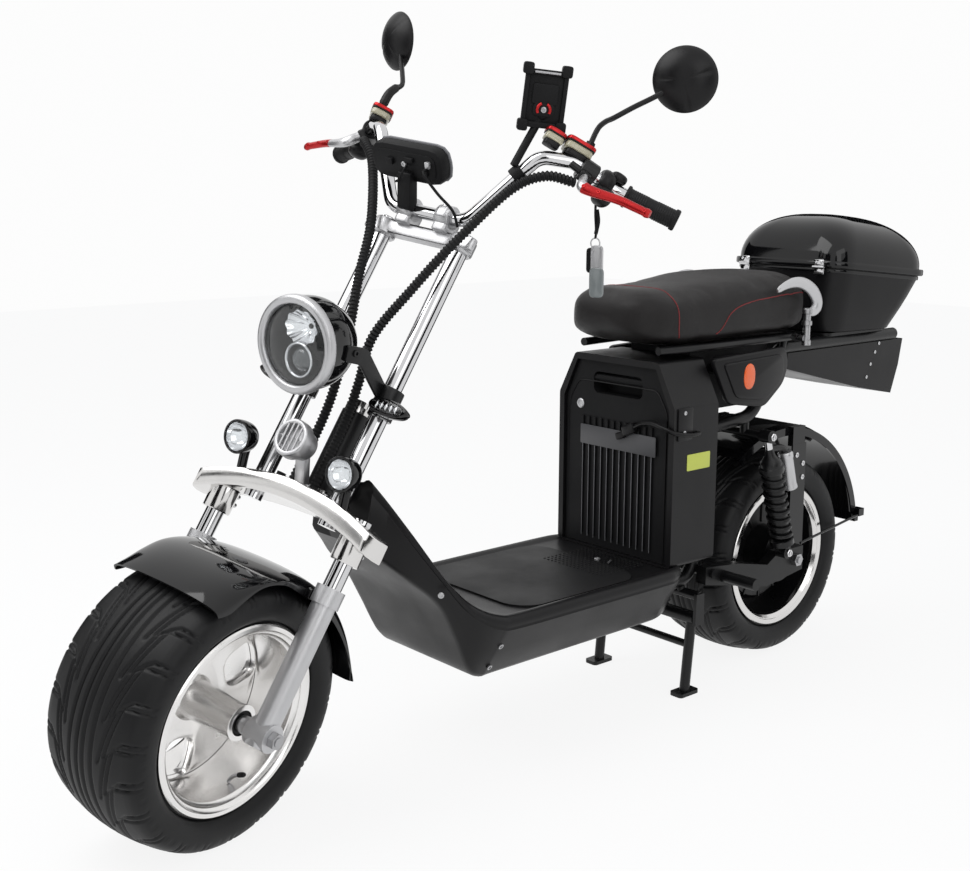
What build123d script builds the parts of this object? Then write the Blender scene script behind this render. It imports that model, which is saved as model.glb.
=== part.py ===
"""Electric motor scooter with fat tyres, a step-through deck, a long seat and a top case.

Millimetres. The chassis is drawn with X forward and Y to the rider's left from the rear axle, and
Z up from AXLE_Z under it, with the ground at GROUND. The steered pieces are drawn in the fork's
own frame: origin on the front axle, X forward, Y left, Z up along the fork. They are placed with
the bars turned a little left.
"""
import os
from math import asin, cos, degrees, radians, sin, sqrt

from build123d import *

# Wheels
TYRE_R = 238.0
TYRE_HALF = 108.0
CROWN_R = 330.0
SHOULDER_Y = 88.0
AXLE_Z = 235.0
GROUND = AXLE_Z - TYRE_R
RIM_FLANGE_R = 166.0
RIM_BARREL_R = 150.0
RIM_HALF = 97.0
FLANGE_T = 7.0
WINDOWS = 3
WINDOW_TURN = 13.5
AXLE_R = 8.0
RUNNING_GAP = 0.05
SEAT_GAP = 0.3

# Steering geometry
WHEELBASE = 1448.0
RAKE = 32.6
FORK_OFFSET = 50.0
STEER_REST = 16.5

# Fork
LEG_Y = 150.0
LEG_R = 21.0
LEG_TOP = 254.0
SEAL_R = 25.0
STANCHION_R = 16.5
YOKE_Z = 343.0
YOKE_T = 36.0
YOKE_HALF = 205.0
YOKE_ARCH = 34.0
YOKE_DEPTH = 76.0
HUB_END = 104.0
SPACER_R = 15.0
TUBE_Y = 87.0
TUBE_R = 16.5
TUBE_TOP = 900.0
STEM_R = 15.0
HEAD_BOTTOM = 404.0
HEAD_TOP = 552.0
HEAD_R = 26.0

# Lamps and horn on the fork
LAMP_X = 168.0
LAMP_Z = 587.0
LAMP_R = 80.0
LAMP_LIP = 14.0
BOWL_DEPTH = 104.0
BOWL_R = 22.0
HORN_X = 62.0
HORN_Z = 453.0
FOG_Y = 118.0
FOG_Z = 426.0
FOG_X = 66.0
FOG_TILT = 22.0
FOG_R = 30.0
SIGNAL_Z = 556.0
SIGNAL_X = 38.0
SIGNAL_Y = 127.0

# Front mudguard
GUARD_GAP = 14.0
GUARD_R = TYRE_R + GUARD_GAP
GUARD_T = 4.0
GUARD_HALF = 118.0
GUARD_LEAD = 54.0
GUARD_SWEEP = 114.0

# Handlebar
BAR_R = 12.5
BAR_Z = 925.0
BAR_X = 14.0
CLAMP_Y = 42.0
GRIP_R = 16.5
GRIP_Y = 383.0
GRIP_LEN = 100.0
PERCH_R = 20.0
CUP_Z = 1094.5
CUP_T = 26.0
MIRROR_R = 57.0
MIRROR_YAW = 22.0
PHONE_YAW = 38.0
DASH_Y = -36.0
SLEEVE_R = 8.6

# Deck and body
DECK_Z = 300.0
DECK_HALF = 190.0
BELLY_Z = 182.0
BELLY_HALF = 139.0
DECK_REAR = 425.0
NECK_HALF = 84.0
NECK_LOW = (WHEELBASE - 296, 456.0)
NECK_HIGH = (WHEELBASE - 313, 567.0)
RAIL_Y = 98.0
RAIL_R = 14.0
SEAT_RAIL_R = 8.5
BOX_FRONT = 452.0
BOX_DEPTH = 136.0
BOX_HALF = 165.0
BOX_TOP = 722.0
BOX_WALL = 14.0
BOX_CHAMFER_Y = 118.0
BOX_SHOULDER = 632.0
PACK_GAP = 1.0

# Seat and case
SEAT_BASE = 752.0
SEAT_TOP = 868.0
SEAT_FRONT = 512.0
SEAT_REAR = -48.0
CASE_X = -252.0
CASE_LEN = 306.0
CASE_HALF = 190.0
CASE_Z = 738.0
CASE_SPLIT = 875.0
CASE_TOP = 1003.0
CASE_WALL = 4.0
LID_SLOPE = 0.1

# Rear end
ARM_Y = 118.0
ARM_T = 26.0
PIVOT_X = 292.0
PIVOT_Z = 258.0
SHOCK_Y = 160.0
SHOCK_TOP = (143.0, 540.0)
SHOCK_FOOT = (66.0, 268.0)
TANK_R = 17.0
SPRING_TURNS = 9
SPRING_PITCH = 19.0
FENDER_GAP = 66.0
FENDER_R = TYRE_R + FENDER_GAP
FENDER_T = 4.0
FENDER_HALF = 106.0
FENDER_LEAD = 34.0
FENDER_SWEEP = 114.0
STAY_T = 4.1

# Centre stand
STAND_X = 335.0
STAND_Z = 165.0
STAND_LEG_Y = 128.0
STAND_LEAD = 16.0
STAND_R = 11.0

# Middle of the footprint, seen from the ground under the rear axle
ORIGIN_X = 609.25
ORIGIN_Y = -7.61

lean = asin(sin(radians(RAKE)) * sin(radians(STEER_REST)))
axle_rise = (TYRE_R - CROWN_R) * cos(lean) + CROWN_R
axle_z = GROUND + axle_rise + FORK_OFFSET * (1 - cos(radians(STEER_REST))) * sin(radians(RAKE))
up_fork = Vector(-sin(radians(RAKE)), 0, cos(radians(RAKE)))
ahead = Vector(cos(radians(RAKE)), 0, sin(radians(RAKE)))
turned = ahead * cos(radians(STEER_REST)) + Vector(0, 1, 0) * sin(radians(STEER_REST))
axis_foot = Vector(WHEELBASE, 0, axle_z) - ahead * FORK_OFFSET
steering = Plane(origin=axis_foot, x_dir=ahead, z_dir=up_fork)
fork = Plane(origin=axis_foot + turned * FORK_OFFSET, x_dir=turned, z_dir=up_fork)
rear_axle = Plane((0, 0, AXLE_Z), x_dir=(1, 0, 0), z_dir=(0, 0, 1))
level = Vector(cos(radians(RAKE)), 0, -sin(radians(RAKE)))
upright = Vector(sin(radians(RAKE)), 0, cos(radians(RAKE)))


def round_tube(points, bends, radius):
    """Adds a round bar along the points, its corners rounded to the bend radii."""
    with BuildLine() as route:
        FilletPolyline(*points, radius=bends)
    with BuildSketch(Plane(origin=route.wire() @ 0, z_dir=route.wire() % 0)) as section:
        Circle(radius)
    sweep(section.sketch, path=route.wire())


def straight_bar(start, end, radius):
    """Adds a straight round bar from start to end."""
    way = Vector(*end) - Vector(*start)
    with BuildSketch(Plane(origin=start, z_dir=way)) as section:
        Circle(radius)
    extrude(section.sketch, amount=way.length)


def tyre():
    """A tyre about the Y axis: crown arc, rounded shoulders, sidewalls down to the rim."""
    bead = RIM_HALF - FLANGE_T - SEAT_GAP
    barrel = RIM_BARREL_R + SEAT_GAP
    lip = RIM_FLANGE_R + 2
    shoulder_r = TYRE_R - CROWN_R + sqrt(CROWN_R ** 2 - SHOULDER_Y ** 2)
    height = shoulder_r - lip
    wall_r = shoulder_r - 0.45 * height
    turn_r = shoulder_r - 0.16 * height
    low_r = lip + 0.19 * height
    with BuildPart() as ring:
        with BuildSketch(Plane.YZ):
            with BuildLine():
                ThreePointArc((-SHOULDER_Y, shoulder_r), (0, TYRE_R), (SHOULDER_Y, shoulder_r))
                ThreePointArc((SHOULDER_Y, shoulder_r), (TYRE_HALF - 5, turn_r), (TYRE_HALF, wall_r))
                ThreePointArc((TYRE_HALF, wall_r), (TYRE_HALF - 4, low_r), (bead, lip))
                Polyline((bead, lip), (bead, barrel), (-bead, barrel), (-bead, lip))
                ThreePointArc((-bead, lip), (4 - TYRE_HALF, low_r), (-TYRE_HALF, wall_r))
                ThreePointArc((-TYRE_HALF, wall_r), (5 - TYRE_HALF, turn_r), (-SHOULDER_Y, shoulder_r))
            make_face()
        revolve(axis=Axis.Y)
    return ring.part


def rim(disc_y, disc_t, hub_r, hub_ends, windows):
    """A rim about the Y axis: barrel, two flanges, a disc with windows and the hub."""
    inner = RIM_BARREL_R - 5
    with BuildPart() as wheel:
        with BuildSketch(Plane.YZ):
            with BuildLine():
                Polyline((-RIM_HALF, inner + 6), (-RIM_HALF, RIM_FLANGE_R), (FLANGE_T - RIM_HALF, RIM_FLANGE_R),
                         (FLANGE_T - RIM_HALF, RIM_BARREL_R), (RIM_HALF - FLANGE_T, RIM_BARREL_R),
                         (RIM_HALF - FLANGE_T, RIM_FLANGE_R), (RIM_HALF, RIM_FLANGE_R), (RIM_HALF, inner + 6),
                         (RIM_HALF - 12, inner), (12 - RIM_HALF, inner), close=True)
            make_face()
        revolve(axis=Axis.Y)
        with BuildSketch(Plane.XZ.offset(-disc_y - disc_t / 2)):
            Circle(inner + 1)
            if windows:
                with PolarLocations(109, windows, start_angle=WINDOW_TURN):
                    RectangleRounded(62, 60, 22, mode=Mode.SUBTRACT)
        extrude(amount=disc_t)
        with BuildSketch(Plane.XZ.offset(-hub_ends[1])):
            Circle(hub_r)
        extrude(amount=hub_ends[1] - hub_ends[0])
        with BuildSketch(Plane.XZ.offset(-hub_ends[1] - 1)):
            Circle(AXLE_R + RUNNING_GAP)
        extrude(amount=hub_ends[1] - hub_ends[0] + 2, mode=Mode.SUBTRACT)
    return wheel.part


def brake_disc(face_y, outer_r, inner_r):
    """A brake disc about the Y axis with a ring of round holes."""
    with BuildPart() as disc:
        with BuildSketch(Plane.XZ.offset(-face_y)):
            Circle(outer_r)
            Circle(inner_r, mode=Mode.SUBTRACT)
            with PolarLocations((outer_r + inner_r) / 2 + 8, 12):
                Circle(4, mode=Mode.SUBTRACT)
        extrude(amount=4)
    return disc.part



# Rear wheel, centred on the origin until it is placed on its axle
rear_tyre = tyre()
rear_rim = rim(0, 20, 62, (-HUB_END, HUB_END), 0)
rear_disc = brake_disc(-HUB_END, 75, 40)

with BuildPart() as hub_motor:
    with BuildSketch(Plane.YZ):
        with BuildLine():
            Polyline((10.3, 62.3), (10.3, 118), (34, 118), (46, 108), (46, 62.3), close=True)
        make_face()
    revolve(axis=Axis.Y)
    mirror(about=Plane.XZ)

# Front wheel
front_tyre = tyre()
front_rim = rim(-20, 16, 34, (-HUB_END, HUB_END), WINDOWS)
front_disc = brake_disc(-HUB_END, 80, 26)

# Fork and steering
with BuildPart() as fork_lowers:
    for side in (1, -1):
        with BuildSketch(Plane.XY.offset(-22)):
            with Locations((0, side * LEG_Y)):
                Circle(LEG_R)
        extrude(amount=LEG_TOP + 22)
        with BuildSketch(Plane.XY.offset(LEG_TOP - 30)):
            with Locations((0, side * LEG_Y)):
                Circle(SEAL_R)
        extrude(amount=30)
        with BuildSketch(Plane.XZ.offset(-side * LEG_Y - LEG_R - 1)):
            Circle(24)
        extrude(amount=2 * LEG_R + 2)
        with BuildSketch(Plane.XZ.offset(-side * LEG_Y - 40)):
            Circle(AXLE_R + RUNNING_GAP)
        extrude(amount=80, mode=Mode.SUBTRACT)

with BuildPart() as fork_tubes:
    with BuildSketch(Plane.XY.offset(LEG_TOP)):
        with Locations((0, LEG_Y), (0, -LEG_Y)):
            Circle(STANCHION_R)
    extrude(amount=YOKE_Z + YOKE_T / 2 + 14 - LEG_TOP)
    with BuildSketch(Plane.XY.offset(YOKE_Z)):
        with Locations((0, TUBE_Y), (0, -TUBE_Y)):
            Circle(TUBE_R)
    extrude(amount=TUBE_TOP - YOKE_Z)

with BuildPart() as front_axle:
    with BuildSketch(Plane.XZ.offset(-LEG_Y - 36)):
        Circle(AXLE_R)
    extrude(amount=2 * LEG_Y + 72)
    spacer = LEG_Y - LEG_R - 1 - HUB_END - 2 * SEAT_GAP
    for side in (1, -1):
        with BuildSketch(Plane.XZ.offset(-side * (HUB_END + SEAT_GAP + spacer / 2) - spacer / 2)):
            Circle(SPACER_R)
        extrude(amount=spacer)
        with BuildSketch(Plane.XZ.offset(-side * (LEG_Y + LEG_R + 1 + SEAT_GAP + 6) - 6)):
            RegularPolygon(14, 6)
        extrude(amount=12)

with BuildPart() as lower_yoke:
    with BuildSketch(Plane.YZ.offset(-FORK_OFFSET - 30)):
        low = YOKE_Z - YOKE_T / 2
        high = YOKE_Z + YOKE_T / 2
        with BuildLine():
            ThreePointArc((-YOKE_HALF, low - 6), (0, low + YOKE_ARCH), (YOKE_HALF, low - 6))
            Line((YOKE_HALF, low - 6), (YOKE_HALF, high - 8))
            ThreePointArc((YOKE_HALF, high - 8), (0, high + YOKE_ARCH), (-YOKE_HALF, high - 8))
            Line((-YOKE_HALF, high - 8), (-YOKE_HALF, low - 6))
        make_face()
    extrude(amount=YOKE_DEPTH + 30)
    with BuildSketch(Plane.XY.offset(YOKE_Z - 80)):
        with BuildLine():
            Polyline((-FORK_OFFSET - 24, -24), (-FORK_OFFSET - 24, 24), (-26, 130), (-26, YOKE_HALF - 8),
                     (10, YOKE_HALF), (28, YOKE_HALF - 10), (34, 0), (28, 10 - YOKE_HALF), (10, -YOKE_HALF),
                     (-26, 8 - YOKE_HALF), (-26, -130), close=True)
        make_face()
    extrude(amount=200, mode=Mode.INTERSECT)
    with BuildSketch(Plane.XY.offset(low - 26)):
        with Locations((0, LEG_Y), (0, -LEG_Y)):
            Circle(STANCHION_R + 9)
        with Locations((-STANCHION_R - 10, LEG_Y), (-STANCHION_R - 10, -LEG_Y)):
            Rectangle(18, 24)
    extrude(amount=44)
    with BuildSketch(Plane.XY.offset(YOKE_Z - 80)):
        with Locations((0, LEG_Y), (0, -LEG_Y)):
            Circle(STANCHION_R + RUNNING_GAP)
        with Locations((0, TUBE_Y), (0, -TUBE_Y)):
            Circle(TUBE_R + RUNNING_GAP)
    extrude(amount=200, mode=Mode.SUBTRACT)
    with BuildSketch(Plane.XY.offset(YOKE_Z + YOKE_ARCH)):
        with Locations((-FORK_OFFSET, 0)):
            Circle(STEM_R)
    extrude(amount=HEAD_TOP + 24 - YOKE_Z - YOKE_ARCH)
    with BuildSketch(Plane.XY.offset(HEAD_TOP + 1)):
        with Locations((-FORK_OFFSET, 0)):
            Circle(HEAD_R - 2)
    extrude(amount=11)

with BuildPart() as upper_yoke:
    with BuildSketch(Plane.XY.offset(TUBE_TOP - 26)):
        Rectangle(26, 2 * TUBE_Y)
        with Locations((0, TUBE_Y), (0, -TUBE_Y)):
            Circle(TUBE_R + 7)
        with Locations((0, TUBE_Y), (0, -TUBE_Y)):
            Circle(TUBE_R + RUNNING_GAP, mode=Mode.SUBTRACT)
    extrude(amount=24)
    with BuildSketch(Plane.XY.offset(TUBE_TOP - 2)):
        with Locations((BAR_X - 8, CLAMP_Y), (BAR_X - 8, -CLAMP_Y)):
            Rectangle(40, 30)
    extrude(amount=BAR_Z + 20 - TUBE_TOP + 2)
    with BuildSketch(Plane.XZ.offset(-100)):
        with Locations((BAR_X, BAR_Z)):
            Circle(BAR_R + RUNNING_GAP)
    extrude(amount=200, mode=Mode.SUBTRACT)

with BuildPart() as handlebar:
    round_tube([(BAR_X, 0, BAR_Z), (BAR_X, 84, BAR_Z), (30, 178, 1064), (-2, 224, 1082), (-70, 284, 1076),
                (-123, GRIP_Y, 1070)], [38, 34, 34, 60], BAR_R)
    mirror(about=Plane.XZ)

bar_knee = Vector(-2, 224, 1082)
bar_bend = Vector(-70, 284, 1076)
bar_end = Vector(-123, GRIP_Y, 1070)
bar_way = (bar_bend - bar_knee).normalized()
grip_way = (bar_end - bar_bend).normalized()

with BuildPart() as grips:
    with BuildSketch(Plane(origin=bar_end - grip_way * (GRIP_LEN - 6), z_dir=grip_way)):
        Circle(GRIP_R)
        Circle(BAR_R + RUNNING_GAP, mode=Mode.SUBTRACT)
    extrude(amount=GRIP_LEN - 6 + SEAT_GAP)
    with BuildSketch(Plane(origin=bar_end + grip_way * SEAT_GAP, z_dir=grip_way)):
        Circle(GRIP_R)
    extrude(amount=6)
    mirror(about=Plane.XZ)

with BuildPart() as bar_controls:
    for near, far, radius in ((14, 46, PERCH_R), (55, 78, 24)):
        with BuildSketch(Plane(origin=bar_knee + bar_way * near, z_dir=bar_way)):
            Circle(radius)
            Circle(BAR_R + RUNNING_GAP, mode=Mode.SUBTRACT)
        extrude(amount=far - near)
    with BuildSketch(Plane(origin=(-1.5, 222, CUP_Z), x_dir=bar_way, z_dir=(0, 0, 1))):
        RectangleRounded(54, 40, 12)
    extrude(amount=CUP_T)
    mirror(about=Plane.XZ)

lever_foot = bar_knee + bar_way * 26
lever_way = Vector(0.41, 0.465, -0.78)
lever_way = (lever_way - bar_way * lever_way.dot(bar_way)).normalized()
with BuildPart() as brake_levers:
    round_tube([lever_foot + lever_way * (PERCH_R + SEAT_GAP), lever_foot + lever_way * 58, (-32, 390, 1026)], [20], 6)
    mirror(about=Plane.XZ)

mirror_spot = Vector(-60, 325, 1305)
mirror_way = level * cos(radians(MIRROR_YAW)) + Vector(0, 1, 0) * sin(radians(MIRROR_YAW))
with BuildPart() as mirrors:
    stalk_z = CUP_Z + CUP_T + SEAT_GAP
    round_tube([(-10, 236, stalk_z), (-10, 236, stalk_z + 34), (-36, 240, stalk_z + 76), (-54, 290, 1262),
                mirror_spot + mirror_way * 4], [12, 20, 14], 4.5)
    with BuildSketch(Plane(origin=mirror_spot, z_dir=mirror_way)):
        Circle(MIRROR_R)
    extrude(amount=18, taper=28)
    mirror(about=Plane.XZ)

lamp_spot = Vector(LAMP_X, 0, LAMP_Z)
with BuildPart() as headlight_shell:
    with BuildSketch(Plane(origin=lamp_spot, x_dir=level, z_dir=(0, -1, 0))):
        with BuildLine():
            Polyline((-44, 0), (-BOWL_DEPTH, 0), (-BOWL_DEPTH, BOWL_R))
            ThreePointArc((-BOWL_DEPTH, BOWL_R), (-0.62 * BOWL_DEPTH, LAMP_R - 14), (0, LAMP_R))
            Polyline((0, LAMP_R), (0, LAMP_R - LAMP_LIP), (-5, LAMP_R - LAMP_LIP), (-34, 52), (-44, 20), (-44, 0))
        make_face()
    revolve(axis=Axis(lamp_spot, level))
    for side in (1, -1):
        with BuildSketch(Plane.XZ.offset(-side * LAMP_R - 4)):
            with BuildLine():
                Polyline((-12, LAMP_Z - 12), (-12, LAMP_Z + 14), (22, LAMP_Z + 16), (104, LAMP_Z + 44),
                         (150, LAMP_Z + 28), (140, LAMP_Z + 2), (102, LAMP_Z + 14), (24, LAMP_Z - 12), close=True)
            make_face()
        extrude(amount=8)
        with BuildSketch(Plane.XY.offset(LAMP_Z - 16)):
            with Locations((0, side * TUBE_Y)):
                Circle(TUBE_R + 6)
        extrude(amount=32)
        with BuildSketch(Plane.XY.offset(LAMP_Z - 20)):
            with Locations((0, side * TUBE_Y)):
                Circle(TUBE_R + RUNNING_GAP)
        extrude(amount=40, mode=Mode.SUBTRACT)

lamp_face = Plane(origin=lamp_spot, x_dir=(0, 1, 0), z_dir=level)
with BuildPart() as headlight_ring:
    with BuildSketch(lamp_face):
        Circle(LAMP_R + 3)
        Circle(LAMP_R - LAMP_LIP + 2, mode=Mode.SUBTRACT)
    extrude(amount=13)

fog_way = Vector(cos(radians(FOG_TILT)), 0, -sin(radians(FOG_TILT)))
fog_spots = [Vector(FOG_X, side * FOG_Y, FOG_Z) for side in (1, -1)]
with BuildPart() as lamp_lenses:
    with BuildSketch(lamp_face):
        Circle(LAMP_R - LAMP_LIP + 2 - SEAT_GAP)
    extrude(amount=8)
    for spot in fog_spots:
        with BuildSketch(Plane(origin=spot, x_dir=(0, 1, 0), z_dir=fog_way)):
            Circle(FOG_R - 4 - SEAT_GAP)
        extrude(amount=4)

yoke_crown = YOKE_Z + YOKE_T / 2 + YOKE_ARCH + SEAT_GAP
with BuildPart() as horn:
    with BuildSketch(Plane.YZ.offset(HORN_X)):
        with Locations((0, HORN_Z)):
            Circle(33)
    extrude(amount=20)
    with BuildSketch(Plane.YZ.offset(HORN_X - 30)):
        with Locations((0, HORN_Z)):
            Circle(24)
    extrude(amount=31)
    with BuildSketch(Plane.XZ.offset(-12)):
        with BuildLine():
            Polyline((HORN_X - 28, HORN_Z), (HORN_X - 12, HORN_Z), (10, yoke_crown), (-8, yoke_crown), close=True)
        make_face()
    extrude(amount=24)

with BuildPart() as fog_lamps:
    for spot in fog_spots:
        with BuildSketch(Plane(origin=spot, x_dir=fog_way, z_dir=(0, -1, 0))):
            with BuildLine():
                Polyline((-34, 0), (-34, 14), (-22, 26), (-8, FOG_R), (5, FOG_R), (5, FOG_R - 4), (-0.3, FOG_R - 4),
                         (-0.3, FOG_R - 7), (-12, FOG_R - 8), (-18, 0), close=True)
            make_face()
        revolve(axis=Axis(spot, fog_way))
        with BuildSketch(Plane.XZ.offset(-spot.Y - 5)):
            with BuildLine():
                Polyline((FOG_X - 30, FOG_Z + 4), (FOG_X - 14, FOG_Z - 16), (16, YOKE_Z + 14), (-6, YOKE_Z + 14),
                         close=True)
            make_face()
        extrude(amount=10)
    with BuildSketch(Plane.YZ.offset(-60)):
        with BuildLine():
            Line((-YOKE_HALF, YOKE_Z + YOKE_T / 2 - 8), (YOKE_HALF, YOKE_Z + YOKE_T / 2 - 8))
            ThreePointArc((YOKE_HALF, YOKE_Z + YOKE_T / 2 - 8), (0, YOKE_Z + YOKE_T / 2 + YOKE_ARCH),
                          (-YOKE_HALF, YOKE_Z + YOKE_T / 2 - 8))
        make_face()
    extrude(amount=200, mode=Mode.SUBTRACT)

with BuildPart() as turn_signals:
    for side in (1, -1):
        with BuildSketch(Plane.XY.offset(SIGNAL_Z - 9)):
            with Locations((0, side * TUBE_Y)):
                Circle(TUBE_R + 6)
            with Locations((24, side * (TUBE_Y + 6))):
                Rectangle(24, 20)
            with Locations((0, side * TUBE_Y)):
                Circle(TUBE_R + RUNNING_GAP, mode=Mode.SUBTRACT)
        extrude(amount=18)
        with BuildSketch(Plane.YZ.offset(SIGNAL_X - 11)):
            with Locations((side * SIGNAL_Y, SIGNAL_Z + 4)):
                Ellipse(40, 15)
        extrude(amount=22)

# Columns: degrees ahead of the fork, radius of the skirt's edge as a share of GUARD_R
GUARD_SKIRT = [(-63, 1.06), (-58, 1.0), (-45, 0.945), (-28, 0.9), (-8, 0.89), (6, 0.897), (18, 0.944), (30, 0.952),
               (40, 0.913), (47, 0.889), (52, 0.909), (58, 0.96)]
guard_start = radians(GUARD_LEAD)
with BuildPart() as front_fender:
    with BuildSketch(Plane((0, 0, 0), x_dir=(0, 1, 0), z_dir=(cos(guard_start), 0, -sin(guard_start)))):
        with BuildLine():
            half = [(GUARD_HALF, GUARD_R - 34), (GUARD_HALF - 4, GUARD_R - 14), (GUARD_HALF - 22, GUARD_R - 4),
                    (60, GUARD_R + 2), (0, GUARD_R + 4)]
            inner = [(0, GUARD_R + 4 - GUARD_T), (59, GUARD_R + 2 - GUARD_T), (GUARD_HALF - 24, GUARD_R - 5 - GUARD_T),
                     (GUARD_HALF - 4 - GUARD_T, GUARD_R - 16), (GUARD_HALF - GUARD_T, GUARD_R - 34)]
            Polyline(*half, *inner, close=True)
        make_face()
        mirror(about=Plane.YZ)
    revolve(axis=Axis((0, 0, 0), (0, -1, 0)), revolution_arc=GUARD_SWEEP)
    with BuildSketch(Plane.XZ.offset(-GUARD_HALF - 10)):
        with BuildLine():
            Polyline((0, 0), *[(share * GUARD_R * sin(radians(turn)), share * GUARD_R * cos(radians(turn)))
                               for turn, share in GUARD_SKIRT], close=True)
        make_face()
    extrude(amount=2 * GUARD_HALF + 20, mode=Mode.SUBTRACT)
    for side in (1, -1):
        ear = LEG_Y - SEAL_R - SEAT_GAP - GUARD_HALF + 2
        with BuildSketch(Plane.XZ.offset(-side * (GUARD_HALF - 2 + ear / 2) - ear / 2)):
            with Locations((0, GUARD_R - 19)):
                Rectangle(24, 18)
        extrude(amount=ear)

with BuildPart() as display:
    with BuildSketch(Plane(origin=(84, DASH_Y, 978), x_dir=(0, 1, 0), z_dir=(0.6, 0, -0.8))):
        RectangleRounded(160, 66, 28)
    extrude(amount=-28)
    with BuildSketch(Plane.XZ.offset(-DASH_Y - 14)):
        with BuildLine():
            near_x = BAR_X + BAR_R + SEAT_GAP
            Polyline((66, 980), (54, 964), (near_x, BAR_Z + 8), (near_x, BAR_Z - 10), (near_x + 14, BAR_Z - 10), (80, 962),
                     close=True)
        make_face()
    extrude(amount=28)

phone_way = (Vector(30, 178, 1064) - Vector(BAR_X, 84, BAR_Z)).normalized()
phone_foot = Vector(BAR_X, 84, BAR_Z) + phone_way * 112
phone_spot = Vector(76, 171, 1146)
phone_face = level * cos(radians(PHONE_YAW)) + Vector(0, 1, 0) * sin(radians(PHONE_YAW))
with BuildPart() as phone_holder:
    with BuildSketch(Plane(origin=phone_foot, z_dir=phone_way)):
        Circle(18)
        Circle(BAR_R + RUNNING_GAP, mode=Mode.SUBTRACT)
    extrude(amount=20)
    straight_bar(phone_foot + phone_way * 10 + Vector(21, -6, 4), phone_spot - upright * 30 - phone_face * 8, 7)
    with BuildSketch(Plane(origin=phone_spot, x_dir=upright.cross(phone_face), z_dir=phone_face)):
        RectangleRounded(84, 108, 10)
    extrude(amount=-14)
    for across in (-36, 36):
        for high in (-44, 50):
            spot = phone_spot + upright.cross(phone_face) * across + upright * high
            with BuildSketch(Plane(origin=spot, x_dir=upright.cross(phone_face), z_dir=phone_face)):
                RectangleRounded(20, 26, 5)
            extrude(amount=-20)

# Columns: ahead and across of each point of the two sleeves, and their common heights
SLEEVE_LEFT = [(-12, 238), (26, 202), (42, 160), (46, 106), (46, 66), (36, 27), (12, 24), (-2, 24), (-2, 24)]
SLEEVE_RIGHT = [(-12, 238), (26, 200), (38, 148), (46, 82), (44, 54), (34, 28), (12, 24), (-2, 24), (-2, 24)]
SLEEVE_UP = [1050, 1032, 985, 870, 768, 672, 592, 516, yoke_crown - 0.2]
with BuildPart() as cable_sleeves:
    for side, route in ((1, SLEEVE_LEFT), (-1, SLEEVE_RIGHT)):
        round_tube([(x, side * y, z) for (x, y), z in zip(route, SLEEVE_UP)], 34, SLEEVE_R)

# Keys hanging from the left switch, plumb with the bars as parked
plumb = Vector(sin(radians(RAKE)) * cos(radians(STEER_REST)), -sin(radians(RAKE)) * sin(radians(STEER_REST)),
               cos(radians(RAKE)))
pod_foot = bar_knee + bar_way * 66
key_hook = pod_foot - (plumb - bar_way * plumb.dot(bar_way)).normalized() * (24 + 1.4 + SEAT_GAP)
key_side = Vector(0, 1, 0).cross(plumb).cross(plumb).normalized()
with BuildPart() as key_fobs:
    straight_bar(key_hook, key_hook - plumb * 128, 2)
    for drop, turn, tag in ((126, 1, (30, 46)), (150, -1, (22, 58))):
        spot = key_hook - plumb * drop
        with BuildSketch(Plane(origin=spot, x_dir=key_side, z_dir=key_side.cross(plumb))):
            with Locations((turn * 6, 0)):
                RectangleRounded(*tag, 8)
        extrude(amount=turn * 8)

with BuildPart() as front_caliper:
    with BuildSketch(Plane.XZ.offset(LEG_Y - LEG_R - SEAT_GAP - 15)):
        with BuildLine():
            FilletPolyline((10, 44), (-30, 38), (-74, 56), (-82, 92), (-44, 112), (10, 96), radius=8, close=True)
        make_face()
    extrude(amount=15)
    with Locations((-50, SEAT_GAP + LEG_R - LEG_Y - 4, 74)):
        Box(30, 10, 26)

# Deck
nose_x = WHEELBASE - 508
mat_x = (DECK_REAR + nose_x + 15) / 2
with BuildPart() as deck_body:
    with BuildSketch(Plane.XZ.offset(-DECK_HALF - 5)):
        with BuildLine():
            Polyline((DECK_REAR, BELLY_Z + 6), (nose_x, BELLY_Z), (nose_x + 32, 208), (nose_x + 94, 338), NECK_LOW,
                     NECK_HIGH, (nose_x + 176, 532), (nose_x + 146, 474), (nose_x + 110, 412), (nose_x + 70, 360),
                     (nose_x + 30, 326), (nose_x - 16, 306), (nose_x - 60, DECK_Z), (DECK_REAR, DECK_Z), close=True)
        make_face()
    extrude(amount=2 * DECK_HALF + 10)
    with BuildSketch(Plane.XY):
        with BuildLine():
            FilletPolyline((DECK_REAR - 1, 168), (DECK_REAR + 55, DECK_HALF), (nose_x + 10, DECK_HALF), (nose_x + 110, 168),
                           (nose_x + 180, 112), (nose_x + 216, NECK_HALF), (nose_x + 216, -NECK_HALF),
                           (nose_x + 180, -112), (nose_x + 110, -168), (nose_x + 10, -DECK_HALF),
                           (DECK_REAR + 55, -DECK_HALF), (DECK_REAR - 1, -168), radius=12, close=True)
        make_face()
    extrude(amount=700, mode=Mode.INTERSECT)
    with BuildSketch(Plane.YZ.offset(DECK_REAR - 5)):
        with BuildLine():
            Polyline((-BELLY_HALF, BELLY_Z - 2), (-DECK_HALF, DECK_Z - 14), (-DECK_HALF, 700),
                     (DECK_HALF, 700), (DECK_HALF, DECK_Z - 14), (BELLY_HALF, BELLY_Z - 2), close=True)
        make_face()
    extrude(amount=900, mode=Mode.INTERSECT)
    with BuildSketch(Plane.XY.offset(DECK_Z - 6)):
        with Locations((mat_x, 0)):
            RectangleRounded(330, 2 * DECK_HALF - 60, 60)
    extrude(amount=20, mode=Mode.SUBTRACT)

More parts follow.
